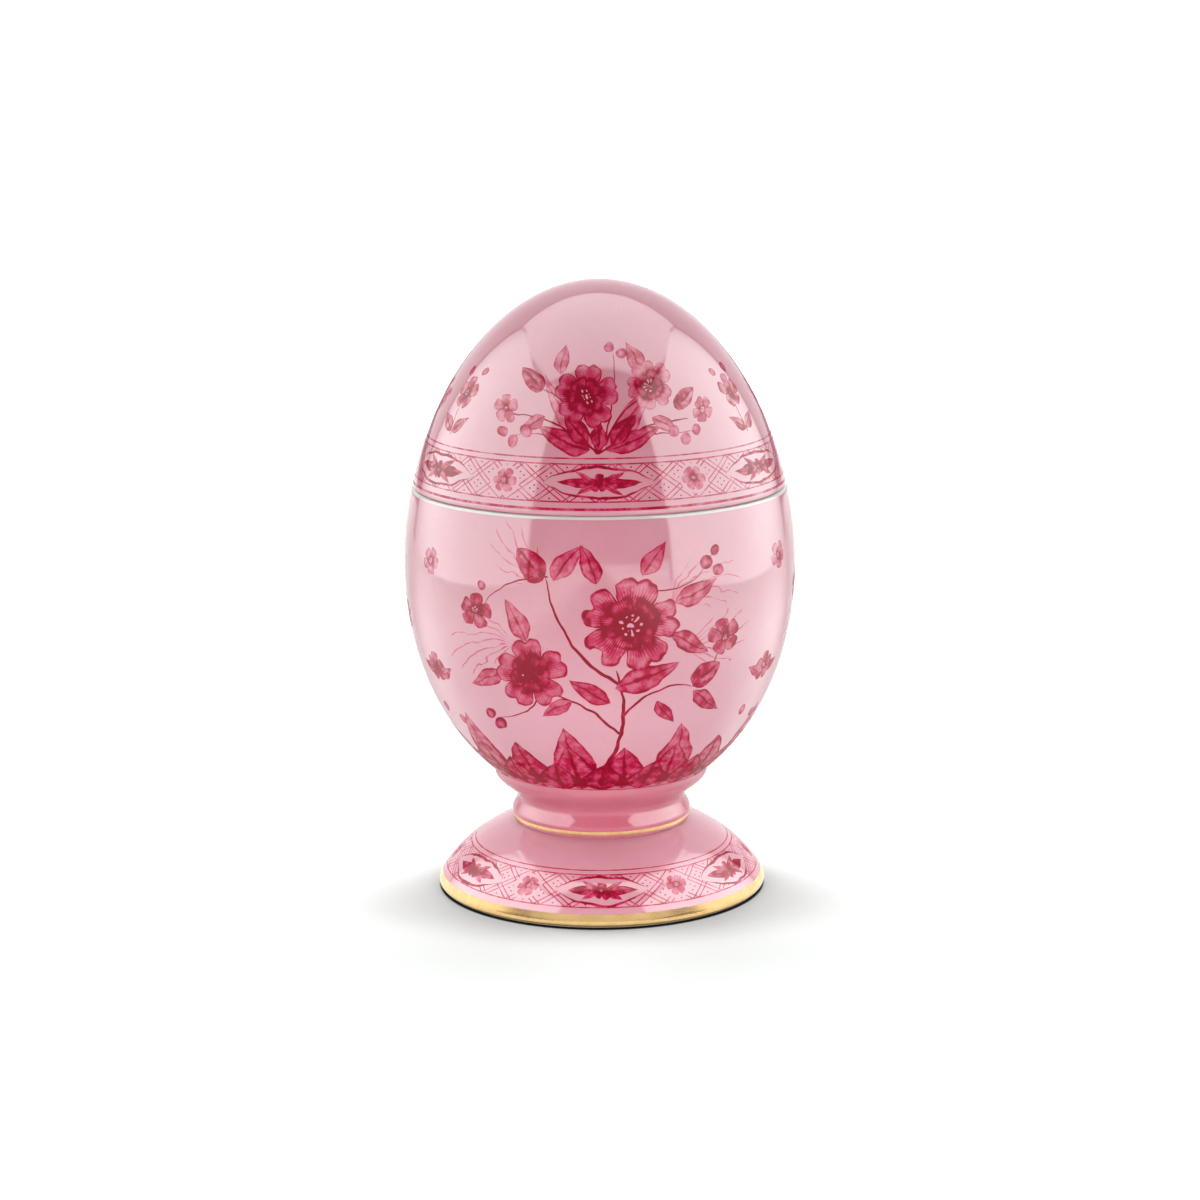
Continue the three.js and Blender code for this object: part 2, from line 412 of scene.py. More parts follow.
class Shader:
    """Writes nodes into a material's or world's tree."""

    def __init__(self, tree: bpy.types.NodeTree) -> None:
        """Starts with an empty tree."""
        self.tree = tree
        self.tree.nodes.clear()

    @classmethod
    def of_material(cls, name: str) -> "tuple[Shader, bpy.types.Material]":
        """Makes a material.

        Args:
            name: Its name.

        Returns:
            The shader that writes it, and the material.
        """
        material = bpy.data.materials.new(name)
        material.use_nodes = True
        return cls(material.node_tree), material

    def node(self, kind: str, settings: dict[str, object], sockets: dict[object, object]) -> bpy.types.Node:
        """Adds any node.

        Args:
            kind: The node's type.
            settings: Its settings, a ramp's stops or a curve's points, which are set first.
            sockets: A value or a link for each input, by name or number.

        Returns:
            The new node.
        """
        node = self.tree.nodes.new(kind)
        for name, value in settings.items():
            if name == "stops":
                self._set_stops(node.color_ramp.elements, value)
            elif name == "points":
                self._set_points(node.mapping, value)
            else:
                setattr(node, name, value)
        for name, value in sockets.items():
            if isinstance(value, (Field, Spot)):
                value = value.socket
            if isinstance(value, bpy.types.NodeSocket):
                self.tree.links.new(value, node.inputs[name])
            else:
                node.inputs[name].default_value = value
        return node

    @staticmethod
    def _set_stops(elements: bpy.types.ColorRampElements, stops: Stops) -> None:
        """Sets a ramp's stops.

        Args:
            elements: The stops that the ramp has, which are two at first.
            stops: What they have to be, two or more.
        """
        for position, _ in stops[2:]:
            elements.new(position)
        for element, (position, colour) in zip(elements, sorted(stops)):
            element.position = position
            element.color = (*colour, 1.0)

    @staticmethod
    def _set_points(mapping: bpy.types.CurveMapping, points: list[Point]) -> None:
        """Sets a curve's points, and keeps it level past its ends.

        Args:
            mapping: The node's curve, which has two points at first.
            points: What they have to be, two or more.
        """
        mapping.extend = "HORIZONTAL"
        curve = mapping.curves[0]
        for point in points[2:]:
            curve.points.new(*point)
        for handle, point in zip(curve.points, sorted(points)):
            handle.location = point
            handle.handle_type = "AUTO_CLAMPED"
        mapping.update()

    def object_place(self) -> Spot:
        """Place on the piece in millimetres, from its own origin."""
        node = self.node("ShaderNodeTexCoord", {}, {})
        return Spot(self, node.outputs["Object"]).times((1 / MM,) * 3)

    def noise(self, place: Spot, scale: float, detail: float) -> tuple[Field, Spot]:
        """A cloudy noise.

        Args:
            place: Where on the surface.
            scale: How many clouds there are to a millimetre.
            detail: How many finer layers there are.

        Returns:
            The noise as a number about 0.5, and as a colour.
        """
        sockets = {"Vector": place, "Scale": scale, "Detail": detail, "Roughness": 0.55}
        node = self.node("ShaderNodeTexNoise", {}, sockets)
        return Field(self, node.outputs[0]), Spot(self, node.outputs[1])

    def combined(self, *parts: Field | float) -> Spot:
        """A place from its coordinates."""
        return Spot(self, self.node("ShaderNodeCombineXYZ", {}, dict(enumerate(parts))).outputs[0])

    def over(self, under: Field | float, top: Field | float, mask: Field) -> Field:
        """One number laid over another where the mask is 1."""
        node = self.node("ShaderNodeMix", {"data_type": "FLOAT"}, {0: mask, 2: under, 3: top})
        return Field(self, node.outputs[0])

    def colour_over(self, under: object, top: object, mask: Field) -> bpy.types.NodeSocket:
        """One colour laid over another where the mask is 1."""
        return self.node("ShaderNodeMix", {"data_type": "RGBA"}, {0: mask, 6: under, 7: top}).outputs[2]

    def colours(self, value: Field, stops: Stops) -> bpy.types.NodeSocket:
        """A number looked up on a ramp of colours."""
        return self.node("ShaderNodeValToRGB", {"stops": stops}, {0: value}).outputs[0]

    def sights(self) -> tuple[Field, Field]:
        """1 where the camera sees the surface, and 1 where a gloss mirrors it."""
        rays = self.node("ShaderNodeLightPath", {}, {})
        return Field(self, rays.outputs["Is Camera Ray"]), Field(self, rays.outputs["Is Glossy Ray"])

    def first_sight(self) -> Field:
        """1 but on light that has already left a matt surface, where it is 0: no gloss throws glints."""
        rays = self.node("ShaderNodeLightPath", {}, {})
        return Field(self, rays.outputs["Diffuse Depth"]).ramp(0.6, 0.4)

    def surface(self, sockets: dict[object, object], relief: Field, depth: float) -> None:
        """Ends a material with its surface.

        Args:
            sockets: The values and links of the surface shader's sockets.
            relief: The height of the surface's fine relief.
            depth: How many millimetres high the relief is.
        """
        bump = self.node("ShaderNodeBump", {}, {"Height": relief, "Strength": 1.0, "Distance": depth * MM})
        principled = self.node("ShaderNodeBsdfPrincipled", {}, {**sockets, "Normal": bump.outputs[0]})
        self.node("ShaderNodeOutputMaterial", {}, {"Surface": principled.outputs[0]})


def srgb(red: int, green: int, blue: int) -> Colour:
    """A screen colour, 0 to 255 a channel, as the linear light that nodes use."""
    shares = (value / 255 for value in (red, green, blue))
    return tuple(s / 12.92 if s <= 0.04045 else ((s + 0.055) / 1.055) ** 2.4 for s in shares)


# Painting


class Canvas(Protocol):
    """A turned form that can be painted: what angles up its side are taken from."""

    centre: Point
    spread: float

    def radius_at(self, height: float) -> float:
        """Radius at a height."""


@dataclass(frozen=True)
class EggCanvas:
    """A stretch of the egg as a canvas."""

    egg: Egg
    centre: Point
    spread: float

    def radius_at(self, height: float) -> float:
        """The egg's radius at a height."""
        return self.egg.radius_at(height)


class Painting:
    """Ink laid on a shell stroke by stroke, as one field: BARE is the ground, and 1 the darkest carmine.

    The edges are half widths along a motif, and the tones run from its middle to its edge.
    """

    SOFT_EDGE = 0.4  # millimetres
    LEAF_EDGE = [(0.0, 0.0002), (0.12, 0.5), (0.38, 0.96), (0.7, 0.62), (1.0, 0.0002)]
    LEAF_TONES = [(0.0, 1.0), (0.07, 0.8), (0.18, 0.48), (0.66, 0.5), (0.86, 0.82), (1.0, 1.0)]
    STEM_EDGE = [(0.0, 0.0), (0.02, 0.9), (0.5, 0.7), (0.96, 0.45), (1.0, 0.0)]
    BUD_EDGE = [(0.0, 0.0002), (0.1, 0.72), (0.35, 1.0), (0.7, 0.72), (0.92, 0.3), (1.0, 0.0002)]
    BUD_TONES = [(0.0, 0.95), (0.12, 0.6), (0.36, 0.42), (0.5, 0.95), (0.56, 0.55), (0.84, 0.5), (1.0, 0.9)]
    ROSE_TONES = [(0.0, 1.0), (0.5, 1.0), (0.62, 0.6), (0.74, 0.38), (0.86, 0.36), (0.94, 0.62), (1.0, 1.0)]
    HEART_TONES = [(0.0, 1.25), (0.4, 1.2), (0.55, 0.85), (0.75, 0.55), (0.9, 0.8), (1.0, 1.2)]
    BLOSSOM_TONES = [
        (0.0, 0.15), (0.16, 0.15), (0.24, 0.95), (0.42, 0.6), (0.8, 0.5), (0.94, 0.75), (1.0, 0.85)
    ]
    BERRY_TONES = [(0.0, 0.45), (0.4, 0.5), (0.78, 0.72), (1.0, 0.95)]

    def __init__(self, shader: Shader, canvas: Canvas) -> None:
        """Sets up the places, the brush's grain and the hand's small swerves.

        Args:
            shader: Writes the material that is painted.
            canvas: The form that is painted.
        """
        self.shader = shader
        self.canvas = canvas
        self.bare: Field | float = BARE
        where = shader.object_place()
        x, y, self.height = where.parts()
        self.radius = where.times((1.0, 1.0, 0.0)).length()
        self.turn = x.bearing(y * -1.0)
        self.rise = (self.height - canvas.centre[1]).bearing(self.radius - canvas.centre[0]) * canvas.spread
        grain, _ = shader.noise(where, scale=0.38, detail=4.0)
        _, self.swerve = shader.noise(where, scale=0.17, detail=1.0)
        self.wash = grain.ramp(0.34, 0.66, low=0.62, high=1.3)
        self.washes = {tone: self.wash * tone.value for tone in Tone}
        self.ink: Field | float = BARE
        self.place: Spot | None = None

    def up(self, height: float) -> float:
        """The painting's upward coordinate at a height."""
        out, level = self.canvas.centre
        return math.atan2(height - level, self.canvas.radius_at(height) - out) * self.canvas.spread

    def repeat(self, times: int, offset: float = 0.0) -> None:
        """Sets the sheet that the next motifs are drawn on, repeated round the form.

        Args:
            times: How many sheets go round.
            offset: How far they are turned, as a share of one sheet.
        """
        half = math.pi / times
        turn = (self.turn + 2 * half * offset).wrapped(half)
        flat = self.shader.combined(turn * self.radius, self.rise, 0.0)
        self.place = flat.stirred(self.swerve, amount=1.9)

    def seen_from(self, origin: Point, turn: float, size: Point) -> Spot:
        """The sheet in a motif's own axes. Its origin is across and in height."""
        return self.place.placed((origin[0], self.up(origin[1])), turn, size)

    def pool(self, depth: Field | float) -> None:
        """Starts on a ground that is paler where light is painted in and deeper where shade is painted in.
        """
        self.bare = self.ink = depth

    def lay(self, tone: Field | float, mask: Field) -> None:
        """Lays ink over what is there."""
        self.ink = self.shader.over(self.ink, tone, mask)

    def ring(self, height: float, width: float, tone: Tone = Tone.PALE) -> None:
        """Paints a line all round, as on a turntable.

        Args:
            height: Its height.
            width: Its width.
            tone: How dark it is.
        """
        soft = 0.12
        away = abs(self.rise - self.up(height))
        self.lay(self.washes[tone], away.ramp(width / 2 + soft, width / 2 - soft))

    def leaf(self, base: Point, turn: float, length: float, width: float, bend: float = 0.0,
             tone: Tone = Tone.MID) -> None:
        """Paints a pointed leaf.

        Args:
            base: Where its stalk ends, across and in height.
            turn: Where it points, in degrees from the right.
            length: Its length.
            width: Its greatest width.
            bend: How far its tip bends to its left, in half widths.
            tone: How dark it is.
        """
        along, across, _ = self.seen_from(base, turn, (length, width / 2)).parts()
        across = (along * along).times_plus(-bend, across)
        share = abs(across) / along.curve(self.LEAF_EDGE)
        mask = share.ramp(1.0, 1.0 - 2 * self.SOFT_EDGE / width)
        self.lay(share.curve(self.LEAF_TONES) * self.washes[tone], mask)

    def stem(self, start: Point, end: Point, sag: float, width: float, tone: Tone = Tone.FULL) -> None:
        """Paints a bent stroke that tapers towards its end.

        Args:
            start: Where it starts, across and in height.
            end: Where it ends.
            sag: How far its middle bends to its left.
            width: Its greatest width.
            tone: How dark it is.
        """
        first, last = Vector((start[0], self.up(start[1]))), Vector((end[0], self.up(end[1])))
        run = last - first
        here = self.place.placed(tuple(first), math.degrees(math.atan2(run.y, run.x)), (run.length, 1.0))
        along, across, _ = here.parts()
        off = (along * (1.0 - along)).times_plus(-4.0 * sag, across)
        edge = along.curve(self.STEM_EDGE).times_plus(width / 2, abs(off) * -1.0)
        self.lay(self.washes[tone], edge.ramp(0.0, 0.16))

    def plume(self, base: Point, turn: float, length: float, bend: float) -> None:
        """Paints a pale feather of fine strokes that fan out of one point.

        Args:
            base: Where the strokes meet, across and in height.
            turn: Where the middle stroke leaves to, in degrees from the right.
            length: The middle stroke's length.
            bend: How far the strokes curl to their right, in radians.
        """
        limit, strokes = math.radians(40.0), 3
        here = self.seen_from(base, turn, (length, length))
        along, across, _ = here.parts()
        reach = here.length()
        swirl = reach.times_plus(bend, across.bearing(along))
        share = abs(swirl) * (1.0 / limit)
        line = swirl.folded(limit / (2 * strokes)) * reach * length
        tips = (share * share).times_plus(-0.45, 1.0 - reach)
        mask = line.ramp(0.36, 0.14) * tips.ramp(0.0, 0.08)
        mask = mask * share.ramp(1.08, 1.0) * reach.ramp(0.02, 0.08)
        self.lay(self.washes[Tone.FAINT], mask)

    def berry(self, centre: Point, radius: float, tone: Tone = Tone.MID) -> None:
        """Paints a round berry.

        Args:
            centre: Its centre, across and in height.
            radius: Its radius.
            tone: How dark it is.
        """
        share = self.place.distance((centre[0], self.up(centre[1]), 0.0)) * (1.0 / radius)
        mask = share.ramp(1.0, 1.0 - self.SOFT_EDGE / radius)
        self.lay(share.curve(self.BERRY_TONES) * self.washes[tone], mask)

    def bud(self, base: Point, turn: float, length: float, width: float, tone: Tone = Tone.MID) -> None:
        """Paints a closed bud with three sepals round its base.

        Args:
            base: Where its stalk ends, across and in height.
            turn: Where it points, in degrees from the right.
            length: Its length.
            width: Its greatest width.
            tone: How dark it is.
        """
        along, across, _ = self.seen_from(base, turn, (length, width / 2)).parts()
        side = across / along.curve(self.BUD_EDGE)
        mask = abs(side).ramp(1.0, 1.0 - 2 * self.SOFT_EDGE / width)
        self.lay(side.times_plus(0.5, 0.5).curve(self.BUD_TONES) * self.washes[tone], mask)
        for spread, reach in ((-34.0, 0.5), (34.0, 0.5), (0.0, 0.36)):
            self.leaf(base, turn + spread, length * reach, width * 0.3, 0.0, Tone.DARK)

    def flower(self, centre: Point, radius: float, turn: float, petals: int, notch: float,
               tones: list[Point], tone: Tone) -> None:
        """Paints an open flower seen from the front.

        Args:
            centre: Its centre, across and in height.
            radius: How far its petals reach.
            turn: How far it is turned, in degrees.
            petals: How many petals it has.
            notch: How deep each petal is notched, as a share of the radius.
            tones: How dark it is from its centre to its edge.
            tone: How dark it is as a whole.
        """
        here = self.seen_from(centre, turn, (radius, radius))
        across, up, _ = here.parts()
        half = math.pi / petals
        off = up.bearing(across).folded(half)
        outline = [(0.0, 1.0 - notch), (0.3, 1.0), (0.72, 0.93), (0.93, 0.74), (1.0, 0.6)]
        reach = here.length()
        share = reach / off.curve([(x * half, y) for x, y in outline])
        seam = ((half - off) * reach).ramp(0.07, 0.0, high=0.55)
        soft = 0.5
        self.lay((share.curve(tones) + seam) * self.washes[tone], share.ramp(1.0, 1.0 - soft / radius))

    def rose(self, centre: Point, radius: float, turn: float, tone: Tone = Tone.MID) -> None:
        """Paints a rose with two rings of petals, fine streaks and a beaded heart.

        Args:
            centre: Its centre, across and in height.
            radius: How far its petals reach.
            turn: How far it is turned, in degrees.
            tone: How dark it is.
        """
        self.flower(centre, radius, turn, petals=5, notch=0.1, tones=self.ROSE_TONES, tone=tone)
        heart = radius * 0.6
        self.flower(centre, heart, turn + 36.0, petals=5, notch=0.08, tones=self.HEART_TONES, tone=tone)
        here = self.seen_from(centre, 0.0, (radius, radius))
        across, up, _ = here.parts()
        ray = up.bearing(across)
        reach = here.length()
        streak = abs((ray * 6.0).wrapped(0.25)) * reach
        self.ink = (streak.ramp(0.09, 0.0) * reach.ramp(0.98, 0.6)).times_plus(0.36, self.ink)
        beads = 9
        bead = self.shader.combined(ray.wrapped(math.pi / beads) * reach, reach - 0.22, 0.0).length()
        self.lay(0.08, reach.ramp(0.12, 0.08))
        self.lay(0.1, bead.ramp(0.05, 0.025))

    def blossom(self, centre: Point, radius: float, turn: float, tone: Tone = Tone.MID) -> None:
        """Paints a small five-petalled blossom with a pale eye."""
        self.flower(centre, radius, turn, petals=5, notch=0.0, tones=self.BLOSSOM_TONES, tone=tone)

    def lattice(self, foot: float, top: float, diamonds: int) -> None:
        """Paints a trellis of double lines with dots, between two heights.

        Args:
            foot: Height of its lower edge.
            top: Height of its upper edge.
            diamonds: How many diamonds go round.
        """
        low, high = self.up(foot), self.up(top)
        rows = 1.5
        across = self.turn * (diamonds / (2 * math.pi))
        up = (self.rise - low) * (rows / (high - low))
        one, two = ((across + up).folded(0.5), (across - up).folded(0.5))
        spacing, half_line, soft, dot = 0.11, 0.028, 0.02, 0.37
        line = abs(one - spacing).least(abs(two - spacing))
        dots = self.shader.combined(dot - one, dot - two, 0.0).length()
        inside = abs(self.rise - (low + high) / 2).ramp((high - low) / 2, (high - low) / 2 - 0.1)
        self.lay(self.washes[Tone.PALE], line.ramp(half_line + soft, half_line - soft) * inside)
        self.lay(self.washes[Tone.MID], dots.ramp(0.055, 0.03) * inside)

    def reserve(self, height: float, length: float, width: float) -> None:
        """Clears a pointed oval in a band and paints a small rosette between two leaves in it.

        Args:
            height: Height of its middle.
            length: Its length along the band.
            width: Its width.
        """
        along, across, _ = self.seen_from((0.0, height), 0.0, (length / 2, width / 2)).parts()
        share = abs(across) / abs(along).curve([(0.0, 1.0), (0.45, 0.82), (0.8, 0.38), (1.0, 0.0004)])
        self.lay(self.bare, share.ramp(1.06, 1.0))
        self.lay(self.washes[Tone.MID], abs(share - 0.97).ramp(0.12, 0.05))
        reach = length * 0.34
        for side in (0.0, 180.0):
            out = math.cos(math.radians(side)) * width
            self.leaf((out * 0.12, height), side, reach, width * 0.36, 0.0, Tone.DARK)
            for turn in (math.copysign(32.0, out), math.copysign(32.0, -out)):
                self.leaf((out * 0.1, height), side + turn, reach * 0.62, width * 0.24, 0.0, Tone.FULL)
        self.blossom((0.0, height), width * 0.31, 90.0, Tone.DARK)

    def rosette(self, height: float, radius: float) -> None:
        """Paints a six-petalled rosette in a cleared round.

        Args:
            height: Height of its centre.
            radius: How far its petals reach.
        """
        share = self.place.distance((0.0, self.up(height), 0.0)) * (1.0 / radius)
        self.lay(self.bare, share.ramp(1.25, 1.15))
        tones, tone = self.BLOSSOM_TONES, Tone.MID
        self.flower((0.0, height), radius, 0.0, petals=6, notch=0.0, tones=tones, tone=tone)


# Finishes


@dataclass(frozen=True)
class Glaze:
    """The pink glaze, the carmine ink under it and the white porcelain."""

    # The pale ground paints in light: the floor's reflection low on the bowl and the brighter flare of the
    # foot.
    painted_light_ground: Colour = srgb(221, 159, 173)
    ground: Colour = srgb(209, 140, 153)
    line: Colour = srgb(206, 100, 124)
    petal: Colour = srgb(197, 58, 98)
    carmine: Colour = srgb(184, 8, 62)
    dark: Colour = srgb(144, 4, 36)
    # The lip's white, greyer than the inside glaze: the porcelain's own white with painted shade from the
    # seam.
    white: Colour = srgb(212, 209, 202)
    roughness: float = 0.07
    index: float = 1.52
    dulled_from: Point = (0.2, 0.9)  # the ink between which the gloss gets weaker
    dulled_to: float = 0.4

    def ink_stops(self) -> Stops:
        """The colours of the ink.

        Returns:
            A ramp from a pale ground of painted light over bare ground to the darkest ink.
        """
        places = (0.0, BARE, 0.3, 0.52, 0.78, 1.0)
        inks = (self.painted_light_ground, self.ground, self.line, self.petal, self.carmine, self.dark)
        return list(zip(places, inks))

    def painted(self, name: str, paint: Callable[[Shader], tuple[Field, Field]]) -> bpy.types.Material:
        """A painted glaze.

        Args:
            name: The material's name.
            paint: Draws with the shader, and gives the ink and where the glaze is left white.

        Returns:
            The material.
        """
        shader, material = Shader.of_material(name)
        ink, white = paint(shader)
        where = shader.object_place()
        cloud, _ = shader.noise(where, scale=0.07, detail=3.0)
        speck, _ = shader.noise(where, scale=1.4, detail=1.0)
        cloudy, speckled = 0.1, 0.04
        shade = (cloud - 0.5).times_plus(cloudy, (speck - 0.5).times_plus(speckled, ink))
        colour = shader.colours(shade, self.ink_stops())
        base = shader.colour_over(colour, (*self.white, 1.0), white)
        sockets = {
            "Base Color": base,
            "Roughness": 1.0,
            "Specular IOR Level": 0.0,
            "Coat Weight": shade.ramp(*self.dulled_from, low=1.0, high=self.dulled_to),
            "Coat Roughness": self.roughness,
            "Coat IOR": self.index,
        }
        shader.surface(sockets, cloud, depth=0.03)
        return material

    def plain(self, name: str) -> bpy.types.Material:
        """The clear glaze over white porcelain, inside.

        Args:
            name: The material's name.

        Returns:
            The material.
        """
        shader, material = Shader.of_material(name)
        cloud, _ = shader.noise(shader.object_place(), scale=0.12, detail=3.0)
        tint = shader.colours(cloud, [(0.3, srgb(240, 238, 233)), (0.7, srgb(246, 244, 240))])
        rough = cloud.ramp(0.3, 0.7, low=0.09, high=0.14)
        shader.surface({"Base Color": tint, "Roughness": rough, "IOR": self.index}, cloud, depth=0.04)
        return material

    def biscuit(self, name: str) -> bpy.types.Material:
        """The unglazed porcelain of the seats and the standing ring.

        Args:
            name: The material's name.

        Returns:
            The material.
        """
        shader, material = Shader.of_material(name)
        where = shader.object_place()
        grit, _ = shader.noise(where, scale=3.0, detail=4.0)
        stain, _ = shader.noise(where, scale=0.15, detail=2.0)
        tint = shader.colours(stain, [(0.3, srgb(214, 209, 199)), (0.7, srgb(229, 226, 219))])
        rough = grit.ramp(0.3, 0.7, low=0.5, high=0.75)
        shader.surface({"Base Color": tint, "Roughness": rough}, grit, depth=0.015)
        return material


@dataclass(frozen=True)
class Gold:
    """Burnished gold, fired on."""

    light: Colour = srgb(220, 184, 130)
    deep: Colour = srgb(208, 170, 114)
    roughness: float = 0.22

    def material(self, name: str) -> bpy.types.Material:
        """The gold, with the brush's faint streaks round the form.

        Args:
            name: The material's name.

        Returns:
            The material.
        """
        shader, material = Shader.of_material(name)
        where = shader.object_place()
        cloud, _ = shader.noise(where, scale=0.25, detail=3.0)
        streaks, _ = shader.noise(where.times((0.25, 0.25, 5.0)), scale=1.0, detail=2.0)
        tint = shader.colours(cloud, [(0.3, self.deep), (0.7, self.light)])
        rough = streaks.ramp(0.3, 0.7, low=self.roughness, high=self.roughness * 1.4)
        shader.surface({"Base Color": tint, "Metallic": 1.0, "Roughness": rough}, streaks, depth=0.004)
        return material


# Porcelain


@dataclass
class Shell:
    """What the three porcelain shells share: the egg, the glaze and the way they are made."""

    egg: Egg
    glaze: Glaze
    seam: float
    name: str = field(init=False, default="")
    node: str = field(init=False, default="")
    body: Body = field(init=False, default=Body.BASE)

    def outline(self) -> list[Point]:
        """The closed outline of the section."""
        raise NotImplementedError

    def finish_at(self, radius: float, height: float) -> Finish:
        """Which finish a face at that radius and height has."""
        raise NotImplementedError

    def paint(self, shader: Shader) -> tuple[Field, Field]:
        """Draws the painting, and gives its ink and where the glaze is left white."""
        raise NotImplementedError

    def build(self, inside: bpy.types.Material, bare: bpy.types.Material) -> bpy.types.Object:
        """Makes the shell, gives each face its finish and installs it.

        Args:
            inside: The white glaze.
            bare: The unglazed porcelain.

        Returns:
            The finished shell.
        """
        piece = turned(self.name, self.outline())
        for material in (self.glaze.painted(f"{self.node}_painting", self.paint), inside, bare):
            piece.data.materials.append(material)
        for face in piece.data.polygons:
            x, y, z = face.center
            face.material_index = self.finish_at(math.hypot(x, y) / MM, z / MM).value
        install(piece, self.node, self.body, Slot.PORCELAIN)
        return piece


@dataclass
class Lid(Shell):
    """The dome, with a rounded edge, a flat seat and a flange that drops inside the bowl."""

    edge_height: float = 2.2
    edge_inset: float = 1.3
    flange_depth: float = 6.0
    flange_wall: float = 2.3
    flange_clearance: float = 0.7
    flange_blend: float = 6.0
    band: Point = (124.4, 134.44)
    upper_line: float = 135.93
    lower_line: float = 122.4

    def __post_init__(self) -> None:
        """Names the shell."""
        self.name, self.node, self.body = "lid_porcelain", "lid", Body.LID

    def outline(self) -> list[Point]:
        """Draws the lid's section.

        Returns:
            The closed outline.
        """
        egg, seam = self.egg, self.seam
        outside = egg.radius_at(seam, egg.wall) - self.flange_clearance
        inside = outside - self.flange_wall
        blend = seam + self.flange_blend
        start = (egg.radius_at(seam + self.edge_height), seam + self.edge_height)
        corner = (start[0] - egg.slope_at(start[1]) * self.edge_height, seam)
        round_foot = self.flange_wall / 2
        foot = ((outside + inside) / 2, seam - self.flange_depth + round_foot)
        return joined(
            egg.stretch(egg.apex - egg.wall, blend, 40, egg.wall),
            cyma((egg.radius_at(blend, egg.wall), blend), (inside, seam)),
            arc(foot, round_foot, -math.pi, 0.0, 12),
            [(outside, seam)],
            bezier([(corner[0] - self.edge_inset, seam), corner, start], 8),
            egg.stretch(start[1], egg.apex, 56),
        )

    def finish_at(self, radius: float, height: float) -> Finish:
        """Painted outside, bare on the seat and the flange's outside, white inside.

        Args:
            radius: The radius of a face's centre.
            height: The height of a face's centre.

        Returns:
            The face's finish.
        """
        flange = self.egg.radius_at(self.seam, self.egg.wall) - self.flange_clearance
        seat, slack = self.seam + 0.02, 0.3
        if height > seat and radius > self.egg.radius_at(height, self.egg.wall / 2):
            return Finish.PAINTED
        if height < seat and radius > flange - slack:
            return Finish.BISCUIT
        return Finish.WHITE_GLAZE

    def paint(self, shader: Shader) -> tuple[Field, Field]:
        """Paints sprays of roses over a latticed band.

        Args:
            shader: Writes the glaze's material.

        Returns:
            The ink, and where the glaze is left white, which is nowhere on the lid.
        """
        painting = Painting(shader, EggCanvas(self.egg, centre=(0.0, 100.0), spread=66.0))
        foot, top = self.band
        middle = (foot + top) / 2
        painting.repeat(6, offset=0.5)
        painting.lattice(foot, top, diamonds=36)
        painting.rosette(middle, radius=3.9)
        painting.repeat(6)
        painting.reserve(middle, length=32.0, width=9.6)
        for height, width in ((self.upper_line, 0.4), (top, 0.4), (foot, 0.4), (self.lower_line, 0.8)):
            painting.ring(height, width)
        painting.repeat(3)
        self._spray(painting)
        painting.repeat(3, offset=0.5)
        self._sprig(painting)
        nowhere = painting.height.ramp(0.0, -1.0)
        return painting.ink, nowhere

    @staticmethod
    def _spray(painting: Painting) -> None:
        """Paints a fan of roses, buds and berries on stems from one point.

        Args:
            painting: The painting that it is added to.
        """
        for side in (-1, 1):
            painting.leaf((1.5 * side, 138.5), 90.0 - 46.0 * side, 25.0, 6.8, 1.6 * side, Tone.PALE)
        painting.stem((0.0, 137.0), (-26.0, 147.0), -3.0, 0.9)
        painting.stem((0.0, 137.0), (26.5, 145.0), 3.0, 0.9)
        painting.stem((-10.0, 141.0), (-25.0, 141.0), -1.0, 0.6, Tone.MID)
        painting.stem((10.0, 141.0), (28.0, 141.5), 1.0, 0.6, Tone.MID)
        painting.stem((0.0, 137.0), (-16.0, 154.0), -2.5, 1.0)
        painting.stem((0.0, 137.0), (14.0, 153.0), 2.0, 1.0)
        painting.stem((0.0, 137.0), (4.0, 163.0), -1.5, 0.7)
        painting.leaf((-2.0, 138.0), 163.0, 17.0, 6.8, -0.5, Tone.FULL)
        painting.leaf((2.0, 138.0), 17.0, 17.0, 6.8, 0.5, Tone.FULL)
        painting.leaf((-15.0, 146.5), 205.0, 9.0, 4.4, 0.4)
        painting.leaf((15.0, 146.0), -22.0, 9.0, 4.4, -0.4)
        painting.leaf((12.0, 158.0), 108.0, 10.0, 5.2, 0.5)
        painting.leaf((-11.0, 157.5), 82.0, 9.0, 4.6, -0.4)
        painting.leaf((-3.0, 139.5), 125.0, 11.0, 5.8, 0.3, Tone.DARK)
        painting.leaf((3.0, 139.5), 52.0, 11.0, 5.8, -0.3, Tone.DARK)
        painting.leaf((0.0, 138.0), 90.0, 9.0, 4.6, 0.0, Tone.DARK)
        for centre, radius in (((-21.0, 142.5), 2.0), ((-24.8, 139.9), 1.9), ((-28.5, 141.8), 1.7),
                               ((21.5, 142.6), 1.9), ((25.2, 140.1), 2.0), ((29.0, 142.0), 1.7),
                               ((3.0, 164.5), 1.6), ((6.4, 163.0), 1.8)):
            painting.berry(centre, radius)
        painting.bud((-16.0, 153.5), 140.0, 9.0, 6.0, Tone.FULL)
        painting.bud((22.0, 148.5), 34.0, 8.0, 5.4, Tone.FULL)
        painting.blossom((-27.5, 148.0), 4.4, 20.0)
        painting.blossom((31.5, 147.0), 4.0, 50.0)
        painting.rose((14.5, 154.5), 7.4, 40.0)
        painting.rose((-3.5, 152.0), 9.4, 12.0, Tone.FULL)

    @staticmethod
    def _sprig(painting: Painting) -> None:
        """Paints a small sprig between two sprays.

        Args:
            painting: The painting that it is added to.
        """
        painting.stem((0.0, 139.0), (0.0, 150.0), 0.6, 0.6)
        painting.leaf((0.0, 140.0), 150.0, 8.0, 4.0, -0.4, Tone.FULL)
        painting.leaf((0.0, 140.0), 30.0, 8.0, 4.0, 0.4, Tone.FULL)
        painting.berry((-3.7, 156.0), 1.5)
        painting.berry((3.4, 156.5), 1.5)
        painting.blossom((0.0, 150.5), 5.0, 90.0, Tone.FULL)


